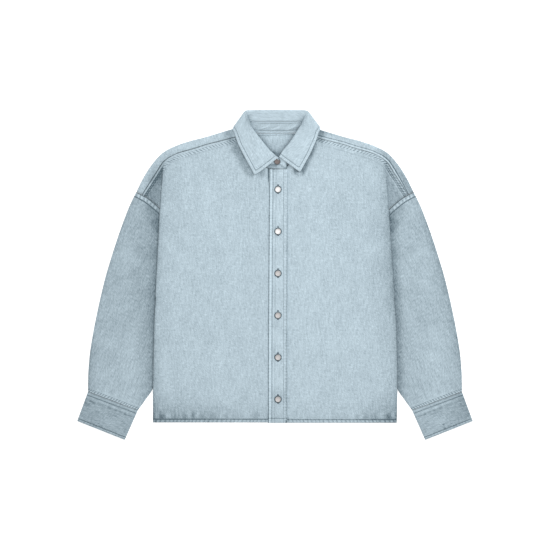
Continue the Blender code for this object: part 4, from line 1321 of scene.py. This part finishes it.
def make_yoke():
    """The yoke. Only its front strips and its inner side in the neck opening show from above."""
    points, faces = yoke_sheet()
    x, y = grid_xy(points)
    on_right = x > MIDLINE
    flip = np.where(on_right, 2 * MIDLINE - x, x)
    seam, run = beside(YOKE_SEAM, flip, y)
    front = points[:, 2] > YOKE_FRONT_ABOVE
    facing = (y - 135.3 + (x - MIDLINE) / 32) * UNIT
    edge = np.where(front, seam - 1.3 * on_right * soft((flip - 160) / 10), facing)
    topstitch = np.where(front & on_right, -seam - 5.2 * soft((flip - 132) / 24), FAR)
    red = np.where(front, shoulder_red(flip, y, np.abs(seam), topstitch, on_right), yoke_inside_red(x, y))
    fields = dict(tone=tone_of(red), run=run, lean=run, edge=edge, hem=topstitch)
    fields.update(u=points[:, 0], v=points[:, 1])
    faces = faced_out(points, faces)
    piece = shell("back_yoke_cloth", points, faces, yoke_denim, fields, up=YOKE_CLOTH / 2, down=0.3)
    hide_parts("back_yoke")
    return piece


def make_tube(node, coarse, look, fields_at, right, step, thickness, inner, warp):
    """A flattened tube of cloth, its warp running in the plan direction warp."""
    points = fine(coarse, step, step, close=True)
    x, y = grid_xy(points)
    upper = soft((points[..., 2] - coarse[..., 2].min() - 1.0) / 1.2)
    rise, fields = fields_at(x, y, upper)
    fields["u"] = points[..., 0] * warp[1] - points[..., 1] * warp[0]
    fields["v"] = points[..., 0] * warp[0] + points[..., 1] * warp[1]
    points[..., 2] += rise
    if right:
        points[..., 0] = 2 * plan(MIDLINE, 0)[0] - points[..., 0]
    piece = grid_shell(node + "_cloth", points, look, fields, up=thickness / 2, down=inner, close=True)
    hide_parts(node)
    return piece


def make_sleeve(right):
    """A sleeve, gathered at the cuff. Only its upper cloth is creased."""
    def fields_at(x, y, upper):
        arm, arm_run = beside(ARM_SEAM, x, y)
        cuff, cuff_run = beside(CUFF_TOP, x, y)
        cuff = -cuff
        at_cuff = cuff < 60
        lean = np.where(at_cuff, (cuff_run - 0.65 * cuff) * 1.2, (arm_run - 0.3 * arm) * 0.75)
        band = between(arm, 2.5, 8.5) * 0.7 + between(cuff, 1.0, 7.0)
        rise, shade = creases(CREASES_SLEEVE_LEFT if right else CREASES_SLEEVE_RIGHT, x, y)
        gather = np.sin(2 * math.pi * cuff_run / GATHER_LENGTH + 1.3 * np.sin(cuff_run / 13.0 + 2.0 * right))
        gather = gather * np.exp(-np.clip(cuff, 0, 400) / 38.0) * soft((cuff - 4) / 8)
        rise = upper * (rise + 0.3 * pucker(lean) * band + GATHER_HEIGHT * gather)
        inner = np.clip(look_up(SIDE, y, 2 if right else 1) - x, 0, 99)
        outer = np.clip(x - look_up(SLEEVE_OUTER, y), 0, 99)
        # painted shade: the body's shadow along the inner edge, darker at the outer fold, lighter along the
        # middle and on the gathers' crests
        if right:
            red = 173 - 46 * around(inner, 5.5)
            red = red - 22 * np.exp(-outer / 6) * soft((y - 205) / 25) * soft((400 - y) / 60)
            red = red + 8 * around(x - 115, 12) * soft((y - 312) / 15) - 14 * np.exp(-outer / 2.5)
        else:
            red = 171 + 7 * soft((y - 320) / 60)
            red = red - 40 * np.exp(-inner / np.interp(y, (300, 335), (11, 8.5))) - 10 * np.exp(-inner / 2)
            red = red + 6 * around(x - 131, 8) * soft((y - 312) / 15)
            red = red - 24 * np.exp(-outer / 5) * soft((y - 335) / 20) * soft((398 - y) / 8)
            red = red - 9 * np.exp(-outer / 2.5)
        red = red + shade + 5 * gather * upper
        red = red + 20 * between(arm, 2.0, 8.5, 1.0) * upper
        red = red - 16 * between(arm, 12, 40, 2.5) * soft((x - 140) / 12) * upper
        red = red + 6 * between(cuff, 7.5, 11) + 4 * between(cuff, 0, 7)
        run = np.where(at_cuff, cuff_run, arm_run)
        second = arm + 60 * soft((x - 152) / 6) + (0 if right else 60)
        return rise, dict(tone=tone_of(red), run=run, lean=lean, band=band, edge=arm, hem=cuff, lap=second)

    node = "sleeve_left" if right else "sleeve_right"
    return make_tube(node, sleeve_rows(right), sleeve_denim, fields_at, right,
                     step=2.8, thickness=CLOTH, inner=INSIDE, warp=(0.38, 0.925))


def make_cuff(right):
    """A cuff, with worn blots along its top seam."""
    def fields_at(x, y, upper):
        top, run = beside(CUFF_TOP, x, y)
        bottom, _ = beside(CUFF_FOOT, x, y)
        top, bottom = np.abs(top), np.abs(bottom)
        lean = run - 0.4 * np.minimum(top, bottom)
        blots = pucker(run * 0.55 + 3 * np.sin(run / 15))
        band = between(bottom, 1.0, 4.5) * 0.35
        rise, shade = creases(CREASES_CUFF_LEFT if right else CREASES_CUFF_RIGHT, x, y)
        rise = upper * (rise + 0.2 * pucker(lean) * band + 0.25 * blots * between(top, 8, 16, 4))
        red = (168 if right else 161) + 8 * between(top, 1.5, 5.0) + 4 * between(bottom, 1.0, 4.5)
        red = red + shade + 12 * between(top, 9.0, 12.5) - (14 + 9 * blots) * between(top, 14, 18, 2.0)
        # painted shade, darker towards the cuff's outer end
        red = red - (36 if right else 12) * np.exp(-run / 22) * between(bottom, 8, 90, 4)
        return rise, dict(tone=tone_of(red), run=run, lean=lean, band=band, edge=top, hem=bottom)

    node = "cuff_left" if right else "cuff_right"
    return make_tube(node, cuff_rows(), cuff_denim, fields_at, right,
                     step=2.0, thickness=DOUBLE_CLOTH, inner=0.4, warp=(0.937, -0.35))


def make_collar(name, node, coarse, fields_at, look, thickness, across, down):
    """A piece of the collar, from rows that run up its height, one after the other round the neck."""
    points = fine(coarse, across, down)
    steps_round = np.diff(points, axis=0, prepend=points[:1])
    steps_up = np.diff(points, axis=1, prepend=points[:, :1])
    round_neck = np.cumsum(np.linalg.norm(steps_round, axis=-1), axis=0)
    up_neck = np.cumsum(np.linalg.norm(steps_up, axis=-1), axis=1)
    fields = fields_at(points, round_neck, up_neck)
    fields.update(u=up_neck, v=round_neck)
    piece = grid_shell(name, points, look, fields, up=thickness / 2, down=thickness / 2)
    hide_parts(node)
    return piece


def make_leaf():
    """The collar leaf. Its outer edge flares a little, and its front edges meet over the stand's button."""
    rows = leaf_rows()
    out = np.linspace(0, 1, rows.shape[1])[:, None]
    for station, (dx, dy) in LEAF_FLARE:
        rows[station] += np.array([dx, -dy, 0]) * UNIT * out**1.5
    for station, (dx, dy, dz, lower, rise) in LEAF_MEETING:
        rows[station] += np.array([dx, -dy, dz]) * UNIT * (1 - out) ** 0.5
        rows[station] += np.array([0, -lower, rise]) * UNIT * (1 - out)

    def fields_at(points, along, across):
        outer = across[:, -1:] - across
        ends = np.minimum(along, along[-1:] - along)
        edge = np.minimum(outer, ends)
        run = np.where(outer < ends, along, across)
        x, y = grid_xy(points)
        # painted shade along the roll at the collar's back corners
        left, _ = beside([(245.4, 111.6), (251.4, 123.6)], x, y)
        right, _ = beside([(307.0, 111.8), (300.8, 123.6)], x, y)
        corner = np.exp(-np.abs(left) / 5) + 0.8 * np.exp(-np.abs(right) / 6)
        red = 199 + 4 * between(edge, 1.2, 5.6) - 3 * between(outer, 20, 60, 8)
        red = red - 62 * corner * soft((y - 110) / 12) * (across < 24)
        band = between(edge, 1.8, 5.2) * 0.3
        return dict(tone=tone_of(red), run=run, lean=run * 1.4 + edge, band=band, edge=edge, hem=across)

    return make_collar("collar_leaf_cloth", "collar_leaf", rows, fields_at, leaf_denim,
                       thickness=LEAF_CLOTH, across=1.5, down=2.2)


def make_stand():
    """The collar stand, creased where it shows behind, inside the neck."""
    def fields_at(points, along, across):
        x, y = grid_xy(points)
        behind = soft((138 - y) / 3)
        rise, shade = creases(CREASES_STAND, x, y)
        points[..., 1] -= 0.5 * rise * behind
        end = np.minimum(along, along[-1:] - along)
        red = 199 + shade * behind - 12 * (1 - behind) + 8 * behind * between(across, 2, 5, 1.5)
        # where the stand's front shows: a painted shadow arc under the button, lighter above it, and painted
        # shade at its ends and in the gap at its right end
        arc = y - 164.6 - 3.2 * soft((x - 279) / 6)
        front = -34 * around(arc, 0.9) - 38 * soft((arc + 0.8) / 1.4) * soft((281 - x) / 7)
        red = red + (1 - behind) * (4 + front + 10 * soft((-arc - 0.5) / 1.5))
        red = red - 40 * np.exp(-end / 1.2) - 110 * spot(x, y, 287.5, 165, 1.0, 2.2)
        fields = dict(tone=tone_of(red), run=along, lean=along * 0.7, band=between(across, 1, 6) * 0.4 * behind)
        fields.update(edge=across + 60 * (1 - behind), hem=across[:, -1:] - across + 60 * (1 - behind))
        return fields

    return make_collar("collar_stand_cloth", "collar_stand", stand_rows(), fields_at, stand_denim,
                       thickness=1.6, across=1.8, down=2.0)


def make_button(name, node, metal, rim):
    """A turned metal button: a rim darkened with painted shade round a pale, slightly dished face."""
    radius = BUTTON_DIAMETER_MM / 2000
    low, high = (Vector(corner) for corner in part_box(node))
    centre = Vector(((low.x + high.x) / 2, (low.y + high.y) / 2, low.z))
    reach, height = BUTTON_PROFILE[0]
    bpy.ops.object.select_all(action="DESELECT")
    bpy.ops.mesh.primitive_circle_add(vertices=48, radius=radius * reach, fill_type="NGON", location=centre)
    piece = bpy.context.object
    piece.name = name
    bpy.ops.object.transform_apply(location=True, rotation=True, scale=True)
    bpy.ops.object.mode_set(mode="EDIT")
    bpy.ops.mesh.select_all(action="SELECT")
    for next_reach, next_height in BUTTON_PROFILE[1:]:
        rise = (0, 0, (next_height - height) / 1000)
        bpy.ops.mesh.extrude_region_move(TRANSFORM_OT_translate={"value": rise})
        share = next_reach / reach
        middle = centre + Vector((0, 0, next_height / 1000))
        bpy.ops.transform.resize(value=(share, share, 1), center_override=middle)
        reach, height = next_reach, next_height
    bpy.ops.mesh.select_all(action="SELECT")
    bpy.ops.mesh.normals_make_consistent(inside=False)
    bpy.ops.object.mode_set(mode="OBJECT")
    bpy.ops.object.shade_smooth_by_angle(angle=math.radians(50))
    piece.data.materials.append(metal)
    piece.data.materials.append(rim)
    for face in piece.data.polygons:
        face.material_index = (face.center - centre).xy.length > radius * BUTTON_FACE
    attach(piece, "root")
    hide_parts(node)
    return piece


def stitch_bars(name, bars, look, width=0.45, height=0.28):
    """Short threads, each a low ridge between two points in millimetres, joined into one mesh."""
    starts, ends = np.array([b[0] for b in bars]), np.array([b[1] for b in bars])
    ways = ends - starts
    aside = np.stack([-ways[:, 1], ways[:, 0], 0 * ways[:, 0]], axis=1)
    aside *= width / 2 / np.maximum(np.linalg.norm(aside, axis=1), 1e-9)[:, None]
    up, sink = np.array([0, 0, height]), np.array([0, 0, THREAD_SINK])
    rings = []
    for share, tall, wide in ((0.0, 0.1, 0.5), (0.3, 1.0, 1.0), (0.7, 1.0, 1.0), (1.0, 0.1, 0.5)):
        here = starts + ways * share
        rings += [here - aside * wide - sink, here + up * tall, here + aside * wide - sink]
    points = np.stack(rings, axis=1).reshape(-1, 3)
    one = [(0, 2, 1), (9, 10, 11)]
    for k in (0, 3, 6):
        one += [(k, k + 1, k + 4, k + 3), (k + 1, k + 2, k + 5, k + 4), (k + 2, k, k + 3, k + 5)]
    faces = [tuple(12 * n + c for c in face) for n in range(len(starts)) for face in one]
    mesh = bpy.data.meshes.new(name)
    mesh.from_pydata((points / 1000).tolist(), [], faces)
    mesh.polygons.foreach_set("use_smooth", [True] * len(mesh.polygons))
    mesh.update()
    piece = bpy.data.objects.new(name, mesh)
    piece.data.materials.append(look)
    bpy.context.scene.collection.objects.link(piece)
    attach(piece, "root")
    return piece


def surface_of(piece):
    """A piece's surface in millimetres, for threads to be laid on."""
    mesh = piece.data
    points = [v.co * 1000 for v in mesh.vertices]
    return BVHTree.FromPolygons(points, [tuple(p.vertices) for p in mesh.polygons])


def stitch_row(surface, line, offset=0.0, start=0.0, stop=0.0, mirror=False, length=STITCH, pitch=STITCH_PITCH):
    """Threads along a line of layout points, moved to its right by offset millimetres, laid on a surface.

    start and stop are the lengths left free at its ends. A thread that would drop over an edge is left out."""
    line = np.array([plan(*p) for p in line])
    ways = np.diff(line, axis=0)
    sizes = np.linalg.norm(ways, axis=1)
    normals = np.stack([ways[:, 1], -ways[:, 0]], axis=1) / sizes[:, None]
    corner = np.concatenate([normals[:1], normals[:-1] + normals[1:], normals[-1:]])
    corner /= np.linalg.norm(corner, axis=1)[:, None]
    corner[1:-1] /= np.maximum(0.5, (corner[1:-1] * normals[1:]).sum(axis=1))[:, None]
    line = line + corner * offset
    sizes = np.linalg.norm(np.diff(line, axis=0), axis=1)
    places = np.append(0, np.cumsum(sizes))
    end = places[-1] - stop
    bars = []
    here = start
    while here + length < end:
        ends = []
        for along in (here, here + length):
            x, y = (np.interp(along, places, line[:, k]) for k in (0, 1))
            if mirror:
                x = 2 * plan(MIDLINE, 0)[0] - x
            hit = surface.ray_cast(Vector((x, y, ABOVE_ALL)), Vector((0, 0, -1)))[0]
            if hit is not None:
                ends.append(np.array(hit))
        if len(ends) == 2 and abs(ends[0][2] - ends[1][2]) < THREAD_DROP:
            bars.append(ends)
        here += pitch
    return bars


def sew(piece, rows, mirror=False):
    """Stitches on a piece of cloth. Each row gives a line and how stitch_row follows it."""
    surface = surface_of(piece)
    bars = [bar for row in rows for bar in stitch_row(surface, *row, mirror=mirror)]
    stitch_bars(piece.name.replace("cloth", "stitches"), bars, thread)


def sew_buttonholes(piece):
    """Above and below each button, an end of its hole: a dark bar for the shade in the slit, with a thread to
    each side.
    """
    surface = surface_of(piece)
    bars, slits = [], []
    for y in BUTTON_ROWS:
        for end, way in ((y - HOLE_END, 1), (y + HOLE_END, -1)):
            across = [(BUTTON_X, end - 0.3), (BUTTON_X, end + 0.3)]
            here = stitch_row(surface, across, length=0.6, pitch=1.0)[0][0]
            for aside in (-2.5, 2.5):
                foot, tip = np.array([aside, -1.3 * way, 0]), np.array([aside * 0.35, 1.3 * way, 0])
                bars.append((here + foot, here + tip))
            slits.append((here + np.array([0, -1.6 * way, 0.05]), here + np.array([0, 1.5 * way, 0.05])))
    stitch_bars("buttonhole_threads", bars, thread, width=0.6, height=0.3)
    stitch_bars("buttonhole_slits", slits, slit_shade, width=4.4, height=0.3)


# The lines of each denim, as denim_look takes them
# on the fronts the lap line is the painted shadow of the placket's edge, and the pleat's topstitched lines
front_denim = denim_look("washed_denim", {
    "edge": ((0.5, 0.25, 1.2), (13.6, 0.14, 1.7)), "hem": ((6.7, 0.8, 1.7),), "lap": ((0.3, 0.95, 1.7),)})
# on the placket the first and last lap lines, at its two edges, and the ring round each button are painted
# shadows; the rest are stitched lines
placket_denim = denim_look("washed_denim_placket", {
    "edge": ((8.0, 0.45, 1.5),),
    "lap": ((0.9, 0.85, 1.1), (7.8, 0.26, 1.4), (14.2, 0.25, 1.6), (38.9, 0.7, 1.5)),
    "hem": ((9.5, 0.6, 1.5),), "ring": ((7.3, 1.0, 1.4),)})
yoke_denim = denim_look("washed_denim_yoke", {"edge": ((-0.3, 0.42, 1.3),), "hem": ((0, 0.75, 1.4),)})
sleeve_denim = denim_look("washed_denim_sleeves", {
    "edge": ((0.6, 1.1, 1.6), (10.5, 1.1, 1.6)), "hem": ((0.3, 0.15, 1.3), (6.6, 0.3, 1.2)),
    "lap": ((4.4, 0.45, 1.3),)})
cuff_denim = denim_look("washed_denim_cuffs", {
    "edge": ((0.3, 0.15, 1.3), (6.6, 0.55, 1.5)), "hem": ((5.8, 0.85, 1.5),)})
leaf_denim = denim_look("washed_denim_collar", {
    "edge": ((7.0, 0.85, 1.3),), "hem": ((0.3, -0.3, 1.4), (2.7, 0.3, 1.2))})
stand_denim = denim_look("washed_denim_stand", {
    "edge": ((7.2, 0.7, 1.5),), "hem": ((0.3, -0.35, 1.4), (2.7, 0.75, 1.3))})
thread = plain_look("pale_blue_thread", (0.36, 0.44, 0.49), 0.8, grain=0.3)
button_metal = plain_look("pale_silver", (0.66, 0.65, 0.645), 0.45, metallic=0.5, grain=0.12)
dull_metal = plain_look("dull_silver", (0.47, 0.455, 0.45), 0.5, metallic=0.5, grain=0.2)
# the buttons' rims, darkened to paint the shade round each button's edge
rim_shade_metal = plain_look("rim_painted_shade", (0.10, 0.125, 0.14), 0.6, metallic=0.4, grain=0.4)
# the stand's button, brown and darkened to paint the collar's shade on it
shade_darkened_metal = plain_look("brown_metal_painted_shade", (0.17, 0.145, 0.14), 0.5, metallic=0.6, grain=0.3)
# dark bars that stand in for the shade in the buttonholes' slits
slit_shade = plain_look("buttonhole_slit", (0.05, 0.08, 0.11), 0.95, grain=0.3)

back = make_back()
yoke = make_yoke()
front_right, front_left = make_front(False), make_front(True)
placket = make_placket()
sleeves = [make_sleeve(False), make_sleeve(True)]
cuffs = [make_cuff(False), make_cuff(True)]
stand = make_stand()
leaf = make_leaf()
for number in range(BUTTONS):
    node = "button_%d" % (number + 1)
    make_button(node + "_turned", node, button_metal if number < 2 else dull_metal, rim_shade_metal)
make_button("button_stand_turned", "button_stand", shade_darkened_metal, rim_shade_metal)

for piece, hem_y, edge_x, mirror in ((front_right, HEM[0], 268.0, False), (front_left, HEM[1], 262.5, True)):
    hem = [(154, hem_y), (edge_x, hem_y)]
    sew(piece, ((YOKE_SEAM, 4.6, 4.0), (YOKE_SEAM, 13.6, 8.0), (hem, -6.7, 1.0)), mirror=mirror)
placket_lines = [[(x, 170.0), (x, 419.5)] for x in (272.3, 283.5)] + [[(270.0, 418.4), (286.0, 418.4)]]
sew(placket, [(line,) for line in placket_lines])
sew_buttonholes(placket)
for piece, mirror in zip(sleeves, (False, True)):
    sew(piece, ((ARM_SEAM[:9], 2.0, 2.0), (ARM_SEAM[:9], 10.5, 1.0)), mirror=mirror)
for piece, mirror in zip(cuffs, (False, True)):
    rows = ((CUFF_TOP, 1.8, 4.0, 4.0), (CUFF_TOP, 5.6, 4.0, 4.0), (CUFF_FOOT, -5.8, 4.0, 4.0))
    sew(piece, rows, mirror=mirror)
left_edge = [LEAF[0][1:3]] + [row[4:6] for row in LEAF[:6]]
right_edge = [row[4:6] for row in LEAF[-6:]] + [LEAF[-1][1:3]]
sew(leaf, ((left_edge, 7.0, 5.0), (right_edge, 7.0, 0.0, 5.0)))
stand_lines = ([(257, 124.2), (294, 124.2)], [(260, 129.8), (291, 129.8)], [(271.5, 167.2), (284.5, 167.6)])
sew(stand, [(line,) for line in stand_lines])

# The floor lies a little below the cloth, and shines a little, as the photo's white ground does
bpy.ops.object.select_all(action="DESELECT")
bpy.ops.mesh.primitive_plane_add(size=FLOOR_SIZE, location=(0, 0, -FLOOR_GAP))
floor = bpy.context.object
floor.name = "floor"
floor.data.materials.append(plain_look("pale_floor", (0.92, 0.92, 0.92), 0.9))
floor_shader = floor.data.materials[0].node_tree.nodes["Principled BSDF"]
floor_shader.inputs["Emission Color"].default_value = (1, 1, 1, 1)
floor_shader.inputs["Emission Strength"].default_value = FLOOR_GLOW

world = bpy.data.worlds.new("studio")
bpy.context.scene.world = world
world.use_nodes = True
world.node_tree.nodes["Background"].inputs["Color"].default_value = (1, 1, 1, 1)
world.node_tree.nodes["Background"].inputs["Strength"].default_value = SKY_STRENGTH
for name, place, size, power in LAMPS:
    lamp = bpy.data.lights.new(name, "AREA")
    lamp.size = size
    lamp.energy = power
    light = bpy.data.objects.new(name, lamp)
    light.location = place
    light.rotation_euler = (Vector((0, 0, 0)) - Vector(place)).to_track_quat("-Z", "Y").to_euler()
    bpy.context.scene.collection.objects.link(light)

lens = bpy.data.cameras.new("camera_above")
lens.lens = LENS_MM
lens.sensor_width = SENSOR_MM
camera = bpy.data.objects.new("camera_above", lens)
camera.location = (0, 0, CAMERA_HEIGHT)
bpy.context.scene.collection.objects.link(camera)
bpy.context.scene.camera = camera
bpy.context.scene.view_settings.view_transform = "Standard"
